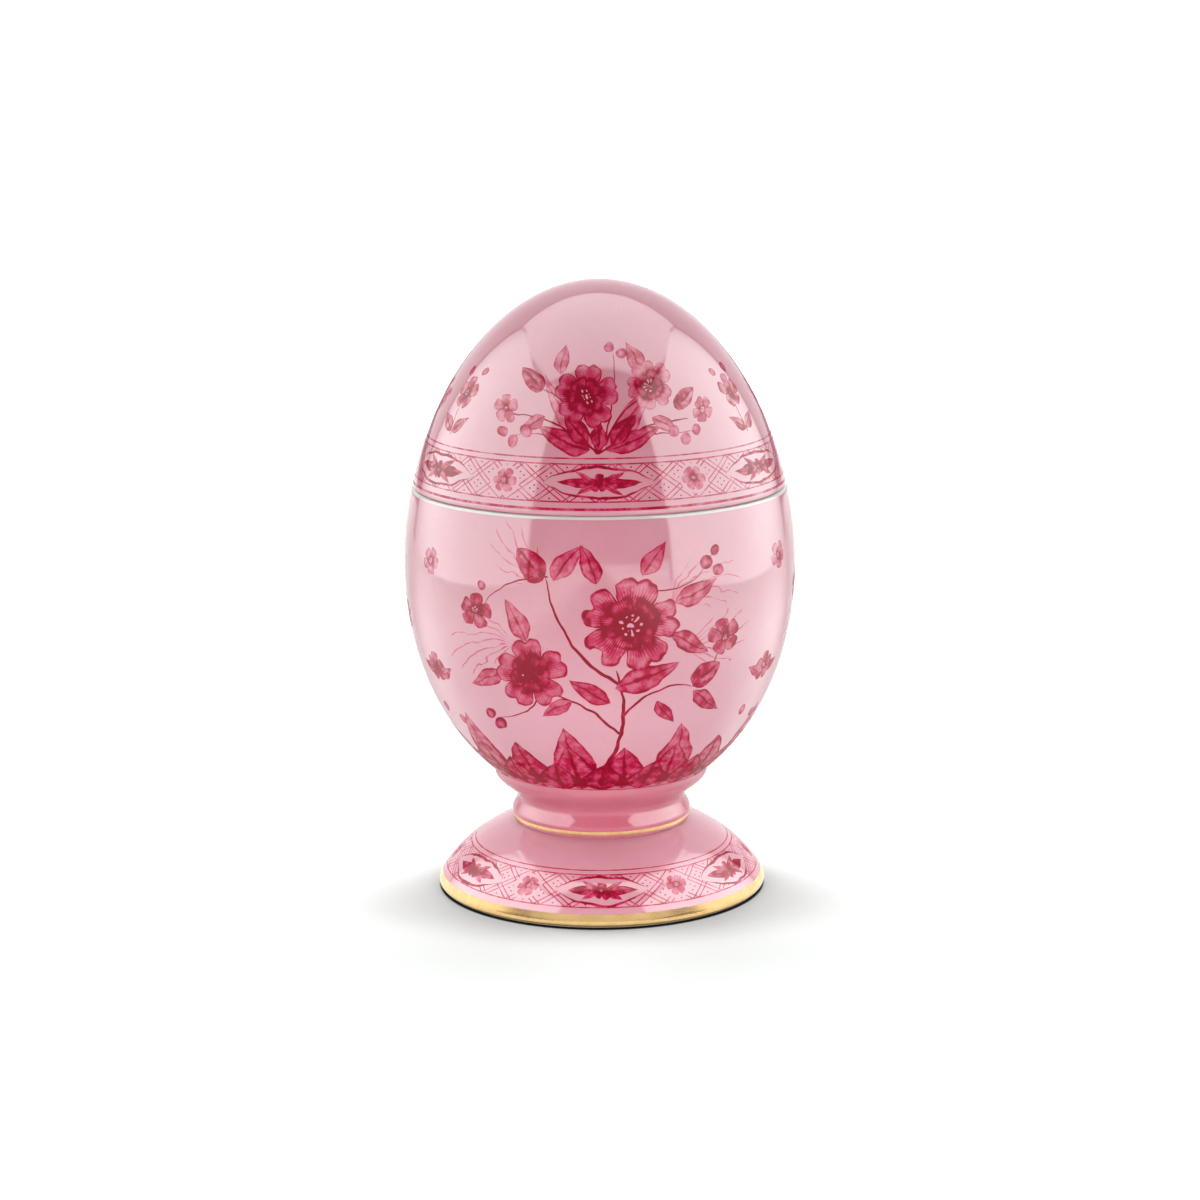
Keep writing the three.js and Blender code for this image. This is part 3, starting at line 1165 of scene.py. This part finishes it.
@dataclass
class Bowl(Shell):
    """The lower egg, with a rounded white lip and a collar that runs into the waist."""

    waist: float = 27.0
    waist_radius: float = 25.0
    lip_height: float = 1.3
    lip_inset: float = 0.9
    mouth_round: float = 0.7
    collar_radius: float = 31.6
    collar_edge: float = 1.0
    floor_thickness: float = 3.4
    floor_blend: float = 1.6
    recess: float = 1.5
    white_lip: float = 0.8
    # Painted reflection of the floor: the heights over which the ground pales, and by how much
    painted_reflection_span: Point = (104.0, 58.0)
    painted_reflection_strength: float = 0.11
    # Painted shade: the heights over which the ground deepens towards the collar, and by how much
    painted_shade_span: Point = (46.0, 37.0)
    painted_shade_depth: float = 0.24
    collar_lines: Point = (37.9, 36.5)

    def __post_init__(self) -> None:
        """Names the shell."""
        self.name, self.node = "bowl_porcelain", "bowl"

    def outline(self) -> list[Point]:
        """Draws the bowl's section.

        Returns:
            The closed outline.
        """
        egg, seam = self.egg, self.seam
        bore = self.waist_radius - self.floor_thickness
        underside = self.waist + self.recess
        shoulder = egg.height_below(self.collar_radius)
        lip = (egg.radius_at(seam - self.lip_height), seam - self.lip_height)
        corner = (lip[0] + egg.slope_at(lip[1]) * self.lip_height, seam)
        mouth = egg.radius_at(seam, egg.wall)
        inner_top = (egg.radius_at(seam - self.mouth_round, egg.wall), seam - self.mouth_round)
        inner = egg.stretch(inner_top[1], egg.apex - egg.length + egg.wall, 64, egg.wall)
        return joined(
            [(0.0, underside), (bore, underside), (bore, self.waist)],
            cyma((self.waist_radius, self.waist), (self.collar_radius, shoulder - self.collar_edge)),
            egg.stretch(shoulder, lip[1], 64),
            bezier([lip, corner, (corner[0] - self.lip_inset, seam)], 8),
            bezier([(mouth + self.mouth_round, seam), (mouth, seam), inner_top], 6),
            [(radius, self._levelled(height)) for radius, height in inner],
        )

    def _levelled(self, height: float) -> float:
        """A height on the inner egg, lifted where it would dip below the flat floor."""
        floor = self.waist + self.recess + self.floor_thickness
        return floor + self.floor_blend * math.log1p(math.exp((height - floor) / self.floor_blend))

    def finish_at(self, radius: float, height: float) -> Finish:
        """Painted outside, bare where the foot is luted on, white inside.

        Args:
            radius: The radius of a face's centre.
            height: The height of a face's centre.

        Returns:
            The face's finish.
        """
        joint, lip = self.waist + 0.02, self.seam - 0.01
        shoulder = self.egg.height_below(self.collar_radius) - 0.1
        neck = self.waist_radius - 0.2
        if height < joint:
            return Finish.BISCUIT
        if height < shoulder:
            outside = radius > neck
        else:
            outside = radius > self.egg.radius_at(height, self.egg.wall / 2) and height < lip
        return Finish.PAINTED if outside else Finish.WHITE_GLAZE

    def paint(self, shader: Shader) -> tuple[Field, Field]:
        """Paints rose branches that rise from a ring of dark leaves.

        Args:
            shader: Writes the glaze's material.

        Returns:
            The ink, and where the glaze is left white, which is the lip.
        """
        painting = Painting(shader, EggCanvas(self.egg, centre=(0.0, 100.0), spread=62.0))
        # Painted reflection of the floor pales the ground low on the bowl; painted shade deepens it towards
        # the collar
        painted_reflection = painting.height.ramp(*self.painted_reflection_span, high=-self.painted_reflection_strength)
        painting.pool(painted_reflection + painting.height.ramp(*self.painted_shade_span, low=BARE, high=BARE + self.painted_shade_depth))
        painting.repeat(3)
        self._branch(painting)
        painting.repeat(3, offset=0.5)
        self._scatter(painting)
        self._lappets(painting)
        for height in self.collar_lines:
            painting.ring(height, 0.35)
        start, soft = self.seam - self.white_lip, 0.12
        return painting.ink, painting.height.ramp(start - soft, start + soft)

    @staticmethod
    def _branch(painting: Painting) -> None:
        """Paints one S-curved branch with its roses, buds, leaves and feathery tendrils.

        Args:
            painting: The painting that it is added to.
        """
        painting.plume((20.0, 97.0), 42.0, 25.0, 0.6)
        painting.plume((-24.0, 84.0), 168.0, 26.0, -0.5)
        painting.plume((-14.0, 104.0), 168.0, 22.0, 0.5)
        painting.plume((24.0, 84.0), -18.0, 24.0, -0.5)
        painting.stem((-1.0, 43.0), (4.2, 77.5), -4.4, 1.6)
        painting.stem((6.2, 72.6), (-15.0, 104.0), 5.0, 1.3)
        painting.stem((5.8, 62.0), (27.0, 71.0), 4.0, 1.1)
        painting.stem((27.0, 71.0), (36.0, 82.0), -2.0, 0.8)
        painting.stem((5.2, 57.0), (-18.0, 70.0), -3.0, 1.1)
        painting.stem((-14.0, 104.0), (-35.0, 94.0), -3.0, 0.7)
        painting.stem((14.0, 100.0), (31.0, 106.0), -3.0, 0.7)
        painting.stem((-18.0, 68.0), (-30.0, 60.5), 2.0, 0.7)
        painting.leaf((4.0, 72.0), 14.0, 20.0, 8.4, 0.5, Tone.FULL)
        painting.leaf((3.0, 67.0), 152.0, 14.0, 6.2, -0.4, Tone.FULL)
        painting.leaf((-13.0, 103.0), 60.0, 14.0, 6.8, -0.6)
        painting.leaf((-21.0, 85.0), 112.0, 14.0, 6.8, 0.4)
        painting.leaf((-28.0, 75.0), 198.0, 13.0, 6.2, 0.5)
        painting.leaf((27.0, 69.5), -48.0, 12.0, 6.2, 0.5, Tone.FULL)
        painting.leaf((21.0, 96.0), 16.0, 15.0, 7.2, 0.5)
        painting.leaf((20.0, 87.0), -26.0, 14.0, 6.6, -0.5, Tone.FULL)
        painting.leaf((-1.0, 102.0), 103.0, 13.0, 6.2, 0.4, Tone.FULL)
        painting.leaf((12.0, 104.0), 62.0, 12.0, 6.0, -0.4)
        painting.leaf((-8.0, 67.5), 205.0, 10.0, 5.0, 0.4)
        painting.leaf((16.0, 67.0), -62.0, 9.0, 4.8, 0.4, Tone.FULL)
        for centre, radius in (((31.0, 106.5), 2.3), ((35.2, 104.0), 2.1), ((34.2, 109.5), 1.8),
                               ((-33.5, 61.5), 2.0), ((-30.0, 58.5), 2.2), ((-35.0, 100.0), 1.7)):
            painting.berry(centre, radius, Tone.FULL)
        painting.bud((-16.0, 103.0), 128.0, 12.0, 8.0, Tone.FULL)
        painting.bud((27.0, 71.5), 32.0, 11.0, 7.2, Tone.FULL)
        painting.blossom((37.5, 84.5), 5.8, 30.0, Tone.FULL)
        painting.blossom((-37.5, 92.5), 5.8, 10.0, Tone.FULL)
        painting.rose((-20.0, 75.5), 11.2, 25.0, Tone.FULL)
        painting.rose((8.5, 90.5), 14.6, 8.0, Tone.FULL)

    @staticmethod
    def _scatter(painting: Painting) -> None:
        """Paints loose blossoms between two branches.

        Args:
            painting: The painting that they are added to.
        """
        painting.leaf((2.0, 70.0), 20.0, 7.0, 3.6, 0.4, Tone.FULL)
        painting.leaf((-2.0, 70.0), 160.0, 7.0, 3.6, -0.4, Tone.FULL)
        painting.blossom((0.0, 72.0), 4.8, 90.0, Tone.FULL)
        painting.blossom((3.0, 104.0), 4.4, 60.0)
        painting.berry((-4.0, 59.0), 1.9)
        painting.berry((4.0, 56.5), 1.7)

    @staticmethod
    def _lappets(painting: Painting) -> None:
        """Paints three layers of leaves that rise from the collar, the darkest lowest.

        Args:
            painting: The painting that they are added to.
        """
        painting.repeat(9, offset=0.25)
        painting.leaf((0.0, 38.5), 90.0, 23.0, 13.0, 0.3, Tone.MID)
        painting.repeat(18, offset=0.5)
        painting.leaf((0.0, 36.8), 90.0, 18.5, 13.5, 0.25, Tone.FULL)
        painting.ring(39.6, 4.0, Tone.DARK)
        painting.repeat(18)
        painting.leaf((0.0, 36.2), 90.0, 13.0, 12.5, -0.2, Tone.DARK)


@dataclass
class Foot(Shell):
    """The spool and the flared hollow skirt with its standing ring."""

    top: float = 27.0
    radius: float = 49.05
    waist_radius: float = 25.0
    spool_height: float = 4.1
    spool_radius: float = 26.4
    lip_height: float = 2.8
    lip_tuck: float = 0.65
    bulge: float = 2.47
    rim_round: float = 1.7
    rim_meets_flare: float = math.radians(35)
    wall: float = 3.4
    ring_width: float = 2.9
    band: Point = (5.6, 13.1)
    upper_line: float = 14.05
    # The ground from painted light on the flare, paler, to painted shade on the spool, deeper: heights,
    # then ink levels
    painted_shade_span: Point = (19.0, 21.5)
    painted_light_and_shade_levels: Point = (0.03, 0.27)
    white_edge: Point = (1.2, 0.6)

    def __post_init__(self) -> None:
        """Names the shell."""
        self.name, self.node = "foot_porcelain", "foot"

    @property
    def rim_centre(self) -> Point:
        """Centre of the rounded rim."""
        return (self.radius - self.rim_round, self.rim_round)

    @property
    def spool_ring(self) -> float:
        """Height of the spool's widest ring."""
        return self.top - self.spool_height

    @property
    def flare_ends(self) -> tuple[Point, Point]:
        """The ends of the flare.

        Returns:
            Its top and its foot.
        """
        top = (self.spool_radius - self.lip_tuck, self.spool_ring - self.lip_height)
        out, up = math.cos(self.rim_meets_flare), math.sin(self.rim_meets_flare)
        return top, (self.rim_centre[0] + self.rim_round * out, self.rim_centre[1] + self.rim_round * up)

    @property
    def spread(self) -> float:
        """Radius of the flare's arc."""
        return math.dist(*self.flare_ends) ** 2 / (8 * self.bulge) + self.bulge / 2

    @property
    def centre(self) -> Point:
        """Where the flare's arc is struck from.

        Returns:
            The centre.
        """
        top, end = self.flare_ends
        chord = math.dist(top, end)
        back = self.spread - self.bulge
        out = ((top[1] - end[1]) / chord, (end[0] - top[0]) / chord)
        return ((top[0] + end[0]) / 2 - out[0] * back, (top[1] + end[1]) / 2 - out[1] * back)

    def radius_at(self, height: float) -> float:
        """The flare's radius at a height."""
        return self.centre[0] + math.sqrt(self.spread**2 - (height - self.centre[1]) ** 2)

    def flare_angle(self, point: Point) -> float:
        """Angle of a point round the flare's centre."""
        return math.atan2(point[1] - self.centre[1], point[0] - self.centre[0])

    def spool_lip(self, start: float, end: float, steps: int, proud: float = 0.0) -> list[Point]:
        """Points down the spool's lip, a quarter of an ellipse from its widest ring to the flare.

        Args:
            start: The first angle down the lip, in radians from its widest ring.
            end: The last angle.
            steps: How many stretches there are between them.
            proud: How far out of the glaze the points lie.

        Returns:
            The points, both ends included.
        """
        widest = self.spool_radius + proud
        points = []
        for step in range(steps + 1):
            angle = lerp(start, end, step / steps)
            radius = widest - self.lip_tuck * (1 - math.cos(angle))
            points.append((radius, self.spool_ring - self.lip_height * math.sin(angle)))
        return points

    def outline(self) -> list[Point]:
        """Draws the foot's section.

        Returns:
            The closed outline.
        """
        bore = self.waist_radius - self.wall
        reach = self.spread - self.wall
        inner_foot = self.rim_centre[0] - self.ring_width
        under = [math.acos((x - self.centre[0]) / reach) for x in (inner_foot, bore)]
        top, end = self.flare_ends
        return joined(
            cyma((self.waist_radius, self.top), (self.spool_radius, self.spool_ring)),
            self.spool_lip(0.0, math.pi / 2, 12),
            arc(self.centre, self.spread, self.flare_angle(top), self.flare_angle(end), 56),
            arc(self.rim_centre, self.rim_round, self.rim_meets_flare, -math.pi / 2, 14),
            [(inner_foot, 0.0)],
            arc(self.centre, reach, under[0], under[1], 40),
            [(bore, self.top)],
        )

    def finish_at(self, radius: float, height: float) -> Finish:
        """Painted outside, bare on the standing ring and under the bowl, white in the hollow.

        Args:
            radius: The radius of a face's centre.
            height: The height of a face's centre.

        Returns:
            The face's finish.
        """
        standing, joint = 0.05, self.top - 0.01
        neck = self.waist_radius - 0.5
        if height < standing or height > joint:
            return Finish.BISCUIT
        if height > self.flare_ends[0][1]:
            outside = radius > neck
        else:
            outside = radius > self.radius_at(height) - self.wall / 3
        return Finish.PAINTED if outside else Finish.WHITE_GLAZE

    def paint(self, shader: Shader) -> tuple[Field, Field]:
        """Paints a latticed band between lines.

        Args:
            shader: Writes the glaze's material.

        Returns:
            The ink, and where the glaze is left white, which is the rim's underside.
        """
        painting = Painting(shader, self)
        # Painted light makes the flare's ground paler; painted shade makes the spool's under the bowl
        # deeper
        painted_light_ground, deep = self.painted_light_and_shade_levels
        painting.pool(painting.height.ramp(*self.painted_shade_span, low=painted_light_ground, high=deep))
        foot, top = self.band
        raised = 0.15
        middle = (foot + top) / 2 + raised
        painting.repeat(6, offset=0.5)
        painting.lattice(foot, top, diamonds=30)
        painting.rosette(middle, radius=3.6)
        painting.repeat(6)
        painting.reserve(middle, length=27.0, width=9.6)
        for height in (foot, top, self.upper_line):
            painting.ring(height, 0.35)
        return painting.ink, painting.height.ramp(*self.white_edge)


@dataclass(frozen=True)
class Gilding:
    """The gold line under the spool and the gold rim, a film on the foot's glaze."""

    foot: Foot
    gold: Gold
    line_drop: float = 0.75
    line_width: float = 1.0
    rim_top: float = 3.9
    rim_ends: float = math.radians(-50)
    film: float = 0.05
    sunk: float = 0.4

    def build(self) -> list[bpy.types.Object]:
        """Makes the two bands and installs them.

        Returns:
            The line and the rim.
        """
        foot = self.foot
        material = self.gold.material("fired_gold")
        fall = [math.asin((self.line_drop + drop) / foot.lip_height) for drop in (0.0, self.line_width)]
        line = [foot.spool_lip(*fall, 6, proud) for proud in (self.film, -self.sunk)]
        rim = [self._rim(proud) for proud in (self.film, -self.sunk)]
        pieces = []
        for name, node, (outside, inside) in (("spool_gilding", "spool_gilt_line", line),
                                              ("rim_gilding", "foot_gilt_rim", rim)):
            piece = turned(name, joined(outside, inside[::-1]))
            piece.data.materials.append(material)
            install(piece, node, Body.BASE, Slot.GILDING)
            pieces.append(piece)
        return pieces

    def _rim(self, proud: float) -> list[Point]:
        """Points down the flare and round the rim, as far as the gold goes.

        Args:
            proud: How far out of the glaze the points lie.

        Returns:
            The points, both ends included.
        """
        foot = self.foot
        start = foot.flare_angle((foot.radius_at(self.rim_top), self.rim_top))
        end = foot.flare_angle(foot.flare_ends[1])
        return joined(
            arc(foot.centre, foot.spread + proud, start, end, 6),
            arc(foot.rim_centre, foot.rim_round + proud, foot.rim_meets_flare, self.rim_ends, 14),
        )


# Studio


def throw_no_glints(lamp: bpy.types.Light) -> None:
    """Keeps a lamp that a gloss mirrors from throwing glints on matt surfaces.

    Args:
        lamp: The lamp.
    """
    lamp.use_nodes = True
    shader = Shader(lamp.node_tree)
    light = shader.node("ShaderNodeEmission", {}, {"Strength": shader.first_sight()})
    shader.node("ShaderNodeOutputLight", {}, {"Surface": light.outputs[0]})


@dataclass(frozen=True)
class Fill:
    """A softbox that lights matt surfaces, or that only a gloss mirrors. Metres and degrees."""

    name: str
    azimuth: float
    elevation: float
    level: float
    distance: float = 1.9
    size: float = 1.1
    target: Colour = (0.0, 0.0, 0.09)
    mirrored: bool = False

    def build(self, receivers: bpy.types.Collection | None = None) -> None:
        """Puts the light up and turns it to the target. Its level is what a white face there shows.

        Args:
            receivers: The only pieces that it lights, or None for all.
        """
        lamp = bpy.data.lights.new(self.name, "AREA")
        lamp.shape = "DISK"
        lamp.size = self.size
        lamp.energy = self.level * (math.pi * self.distance) ** 2
        turn, lift = math.radians(self.azimuth), math.radians(self.elevation)
        out = Vector((math.sin(turn) * math.cos(lift), -math.cos(turn) * math.cos(lift), math.sin(lift)))
        holder = bpy.data.objects.new(self.name, lamp)
        place = Matrix.Translation(Vector(self.target) + out * self.distance)
        holder.matrix_world = place @ (-out).to_track_quat("-Z", "Y").to_matrix().to_4x4()
        holder.visible_camera = False
        holder.visible_glossy = self.mirrored
        holder.visible_diffuse = not self.mirrored
        bpy.context.scene.collection.objects.link(holder)
        if self.mirrored:
            throw_no_glints(lamp)
        if receivers:
            holder.light_linking.receiver_collection = receivers


@dataclass(frozen=True)
class Panel:
    """A lit diffuser that the glaze mirrors, with a dimmer lamp just inside it for the gold. Metres."""

    name: str
    near: tuple[Colour, Colour]  # the corners of one end
    far: tuple[Colour, Colour]  # the corners of the other end
    radiance: float
    along: tuple[Point, ...]  # the share of the radiance from the near end to the far one
    tint: Colour = (1.0, 1.0, 1.0)
    soft: float = 0.05  # how much of its width and length an edge takes to fade
    far_low: float = 1.0  # the share that is left in the first corner of the far end
    lamp_radiance: float = 1.3

    def build(self, glazed: bpy.types.Collection, gilded: bpy.types.Collection) -> None:
        """Makes the panel, brighter or dimmer along its length and faded at its edges.

        Args:
            glazed: The pieces that mirror the panel itself.
            gilded: The pieces that mirror its lamp.
        """
        mesh = bmesh.new()
        mesh.loops.layers.uv.verify()
        bmesh.ops.create_grid(mesh, x_segments=8, y_segments=8, size=0.5, calc_uvs=True)
        near, far = ([Vector(corner) for corner in pair] for pair in (self.near, self.far))
        for vert in mesh.verts:
            across, along = vert.co.x + 0.5, vert.co.y + 0.5
            vert.co = near[0].lerp(near[1], across).lerp(far[0].lerp(far[1], across), along)
        shader, material = Shader.of_material(self.name)
        place = Spot(shader, shader.node("ShaderNodeTexCoord", {}, {}).outputs["UV"])
        across, along, _ = place.parts()
        edge = across.folded(0.5).least(along.folded(0.5)).ramp(0.0, self.soft)
        corner = (along * (1.0 - across)).ramp(0.45, 0.9, low=1.0, high=self.far_low)
        strength = along.curve(list(self.along)) * corner * edge * self.radiance * shader.first_sight()
        sockets = {"Color": (*self.tint, 1.0), "Strength": strength}
        light = shader.node("ShaderNodeEmission", {}, sockets)
        shader.node("ShaderNodeOutputMaterial", {}, {"Surface": light.outputs[0]})
        panel = stage_piece(self.name, mesh, material)
        panel.visible_camera = False
        panel.visible_diffuse = False
        panel.visible_shadow = False
        panel.light_linking.receiver_collection = glazed
        self._lamp().light_linking.receiver_collection = gilded

    def _lamp(self) -> bpy.types.Object:
        """Makes a rectangular lamp just inside the panel, which only a gloss mirrors.

        Returns:
            The lamp.
        """
        near, far = ([Vector(corner) for corner in pair] for pair in (self.near, self.far))
        across = near[1] - near[0]
        along = (far[0] - near[0] + far[1] - near[1]) / 2
        middle = (near[0] + near[1] + far[0] + far[1]) / 4
        lamp = bpy.data.lights.new(f"{self.name}_lamp", "AREA")
        lamp.shape = "RECTANGLE"
        lamp.size, lamp.size_y = across.length, along.length
        lamp.energy = self.lamp_radiance * math.pi * across.length * along.length
        throw_no_glints(lamp)
        out = across.cross(along).normalized()
        if out.dot(middle) < 0:
            out, across = -out, -across
        turn = Matrix((across.normalized(), along.normalized(), out)).transposed().to_4x4()
        holder = bpy.data.objects.new(lamp.name, lamp)
        just_inside = 0.98
        holder.matrix_world = Matrix.Translation(middle * just_inside) @ turn
        holder.visible_camera = False
        holder.visible_diffuse = False
        bpy.context.scene.collection.objects.link(holder)
        return holder


def group(name: str, *pieces: bpy.types.Object) -> bpy.types.Collection:
    """Gathers the pieces that a light is meant for.

    Args:
        name: The new collection's name.
        *pieces: The pieces.

    Returns:
        The collection.
    """
    collection = bpy.data.collections.new(name)
    for piece in pieces:
        collection.objects.link(piece)
    return collection


def stage_piece(name: str, mesh: bmesh.types.BMesh, material: bpy.types.Material) -> bpy.types.Object:
    """Makes a piece of the studio.

    Args:
        name: The new object's name.
        mesh: Its mesh in the making, which is freed.
        material: Its material.

    Returns:
        The object, linked to the scene.
    """
    data = bpy.data.meshes.new(name)
    mesh.to_mesh(data)
    mesh.free()
    data.materials.append(material)
    piece = bpy.data.objects.new(name, data)
    bpy.context.scene.collection.objects.link(piece)
    return piece


@dataclass(frozen=True)
class Studio:
    """A white sweep, diffusers on both sides and overhead, fills, the gold's lamps and the camera."""

    glazed: bpy.types.Collection
    gilded: bpy.types.Collection
    line: bpy.types.Collection
    rim: bpy.types.Collection
    footing: bpy.types.Collection
    backdrop: float = 1.06  # the world as the camera sees it
    surround: float = 0.05  # the world as a light
    mirrored: Point = (0.35, 1.15)  # the world as a gloss mirrors it, in front and behind
    floor_reach: float = 30.0
    floor_albedo: float = 0.72
    floor_tint: Colour = (0.93, 1.0, 0.975)
    # albedo of the painted contact shadow under the foot
    contact_shadow_albedo: float = 0.02
    camera_place: Colour = (0.0, -0.9, 0.2778)
    camera_down: float = 12.063
    camera_roll: float = -0.39
    camera_lens: float = 93.84
    sensor: float = 36.0

    def build(self) -> None:
        """Sets up the whole studio."""
        for side, name in ((-1, "left"), (1, "right")):
            Fill(f"{name}_front_fill", azimuth=36.0 * side, elevation=12.0, level=0.46).build()
            Fill(f"{name}_back_fill", azimuth=130.0 * side, elevation=31.0, level=0.58).build()
            foot_fill = Fill(f"{name}_foot_fill", azimuth=70.0 * side, elevation=40.0, level=0.03)
            foot_fill.build(self.footing)
        Fill("back_fill", azimuth=180.0, elevation=20.0, level=0.42).build()
        Fill("top_fill", azimuth=180.0, elevation=52.0, level=0.2).build()
        Fill("foot_fill", azimuth=0.0, elevation=62.0, level=0.2).build(self.footing)
        Fill("foot_back_fill", azimuth=180.0, elevation=55.0, level=0.25).build(self.footing)
        self._light_gold()
        for panel in self._panels():
            panel.build(self.glazed, self.gilded)
        self._world()
        self._floor()
        self._camera()

    def _light_gold(self) -> None:
        """Lamps that only the gold mirrors: four round it, and one just above the floor for each band."""
        for name, azimuth, level in (("front", 0.0, 0.78), ("left", -90.0, 0.4), ("right", 90.0, 0.4),
                                     ("back", 180.0, 0.4)):
            lamp = Fill(f"rim_{name}", azimuth, elevation=35.0, level=level, distance=0.5, mirrored=True)
            lamp.build(self.gilded)
        upwards = {"azimuth": 0.0, "elevation": -90.0, "distance": 0.5, "target": (0.0, 0.0, 0.501)}
        for name, level, band in (("rim", 0.85, self.rim), ("line", 0.4, self.line)):
            lamp = Fill(f"{name}_floor", level=level, size=1.2, mirrored=True, **upwards)
            lamp.build(band)

    @staticmethod
    def _panels() -> list[Panel]:
        """The overhead diffuser and the two at the sides, whose upper edges rise to the front.

        Returns:
            The three panels.
        """
        height = 0.92
        near = ((-0.5, -0.36, height), (0.5, -0.36, height))
        far = ((-0.86, 0.69, height), (0.86, 0.69, height))
        along = ((0.0, 0.86), (0.35, 1.0), (0.65, 0.9), (1.0, 0.58))
        panels = [Panel("overhead", near, far, radiance=5.1, along=along)]
        along = ((0.0, 0.78), (0.3, 0.9), (0.58, 1.0), (0.8, 0.78), (0.93, 0.5), (1.0, 0.36))
        for side, name, radiance in ((-1, "left", 6.5), (1, "right", 7.2)):
            out = 0.6 * side
            near = ((out, -0.72, -0.08), (out, -0.82, 1.38))
            far = ((out, 0.68, -0.06), (out, 0.61, 0.87))
            panels.append(Panel(name, near, far, radiance, along, tint=(0.92, 1.0, 0.98), far_low=0.45,
                                lamp_radiance=1.5))
        return panels

    def _world(self) -> None:
        """White all round, with its own strength for the camera, the glaze and the light it gives."""
        world = bpy.data.worlds.new("studio")
        world.use_nodes = True
        bpy.context.scene.world = world
        shader = Shader(world.node_tree)
        camera, glossy = shader.sights()
        looks = Spot(shader, shader.node("ShaderNodeTexCoord", {}, {}).outputs["Generated"])
        mirrored = looks.parts()[1].ramp(-0.3, 0.5, *self.mirrored) * shader.first_sight()
        strength = shader.over(shader.over(self.surround, mirrored, glossy), self.backdrop, camera)
        sockets = {"Color": (1.0, 1.0, 1.0, 1.0), "Strength": strength}
        background = shader.node("ShaderNodeBackground", {}, sockets)
        shader.node("ShaderNodeOutputWorld", {}, {"Surface": background.outputs[0]})

    def _floor(self) -> None:
        """A white floor that runs into the backdrop.

        The camera sees a painted shadow round the foot, and a gloss mirrors it glowing with painted light,
        as if lit by the side diffusers. To everything else it gives a little light of its own.
        """
        mesh = bmesh.new()
        bmesh.ops.create_grid(mesh, x_segments=1, y_segments=1, size=self.floor_reach)
        shader, material = Shader.of_material("floor_white")
        where = shader.object_place()
        x, y, _ = where.parts()
        away = where.length()
        camera, glossy = shader.sights()
        # To the camera: a painted contact shadow under the foot, a painted soft shadow round it, and
        # brighter towards the backdrop
        outside_contact_shadow = where.distance((0.0, -1.0, 0.0)).ramp(48.0, 48.8)
        shade = shader.combined(x, (y + 15.0) * 1.6, 0.0).length()
        seen = shade.ramp(44.0, 86.0, low=0.12, high=0.46) * outside_contact_shadow
        seen = seen + away.ramp(85.0, 160.0, high=0.22) + away.ramp(200.0, 1500.0, high=0.5)
        # The floor's colour is nearly black in the painted contact shadow
        white = tuple(self.floor_albedo * share for share in self.floor_tint)
        tint = shader.colours(outside_contact_shadow, [(0.0, (self.contact_shadow_albedo,) * 3), (1.0, white)])
        bounced = away.ramp(240.0, 60.0, high=0.4)
        # To a gloss it glows with painted light: brighter to both sides, a little more to the right, and
        # dimmer round the foot
        lit = away.ramp(900.0, 250.0, high=0.6) + abs(x).ramp(60.0, 260.0, high=2.4)
        sided = lit * x.ramp(-250.0, 250.0, low=0.92, high=1.14)
        near = away.ramp(55.0, 100.0, low=0.4) * shader.first_sight()
        mirrored = (y / abs(x)).ramp(1.2, 0.2).times_plus(sided, 0.15) * near
        sockets = {
            "Base Color": tint,
            "Roughness": 1.0,
            "Specular IOR Level": 0.0,
            "Emission Color": (0.95, 1.0, 0.97, 1.0),
            "Emission Strength": shader.over(shader.over(bounced, mirrored, glossy), seen, camera),
        }
        principled = shader.node("ShaderNodeBsdfPrincipled", {}, sockets)
        shader.node("ShaderNodeOutputMaterial", {}, {"Surface": principled.outputs[0]})
        stage_piece("floor", mesh, material)

    def _camera(self) -> None:
        """The camera at the photograph's angle."""
        data = bpy.data.cameras.new("camera")
        data.lens = self.camera_lens
        data.sensor_width = self.sensor
        camera = bpy.data.objects.new("camera", data)
        down = Matrix.Rotation(math.radians(90 - self.camera_down), 4, "X")
        roll = Matrix.Rotation(math.radians(self.camera_roll), 4, "Z")
        camera.matrix_world = Matrix.Translation(self.camera_place) @ down @ roll
        bpy.context.scene.collection.objects.link(camera)
        bpy.context.scene.camera = camera
        bpy.context.scene.view_settings.view_transform = "Standard"


def main() -> None:
    """Builds the egg box, its studio and its camera."""
    logging.basicConfig(level=logging.INFO, format="%(name)s: %(message)s")
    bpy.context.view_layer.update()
    _, lid_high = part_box("lid")
    _, bowl_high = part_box("bowl")
    _, foot_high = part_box("foot")
    egg = Egg(apex=lid_high[2] / MM, widest=bowl_high[0] / MM)
    glaze = Glaze()
    seam = bowl_high[2] / MM
    foot = Foot(egg, glaze, seam, top=foot_high[2] / MM, radius=foot_high[0] / MM)
    inside = glaze.plain("white_glaze")
    bare = glaze.biscuit("bare_porcelain")
    lid = Lid(egg, glaze, seam).build(inside, bare)
    bowl = Bowl(egg, glaze, seam, waist=foot.top).build(inside, bare)
    stand = foot.build(inside, bare)
    line, rim = Gilding(foot, Gold()).build()
    Studio(
        glazed=group("glazed", lid, bowl, stand),
        gilded=group("gilded", line, rim),
        line=group("line", line),
        rim=group("rim", rim),
        footing=group("footing", stand),
    ).build()


if __name__ == "__main__":
    main()
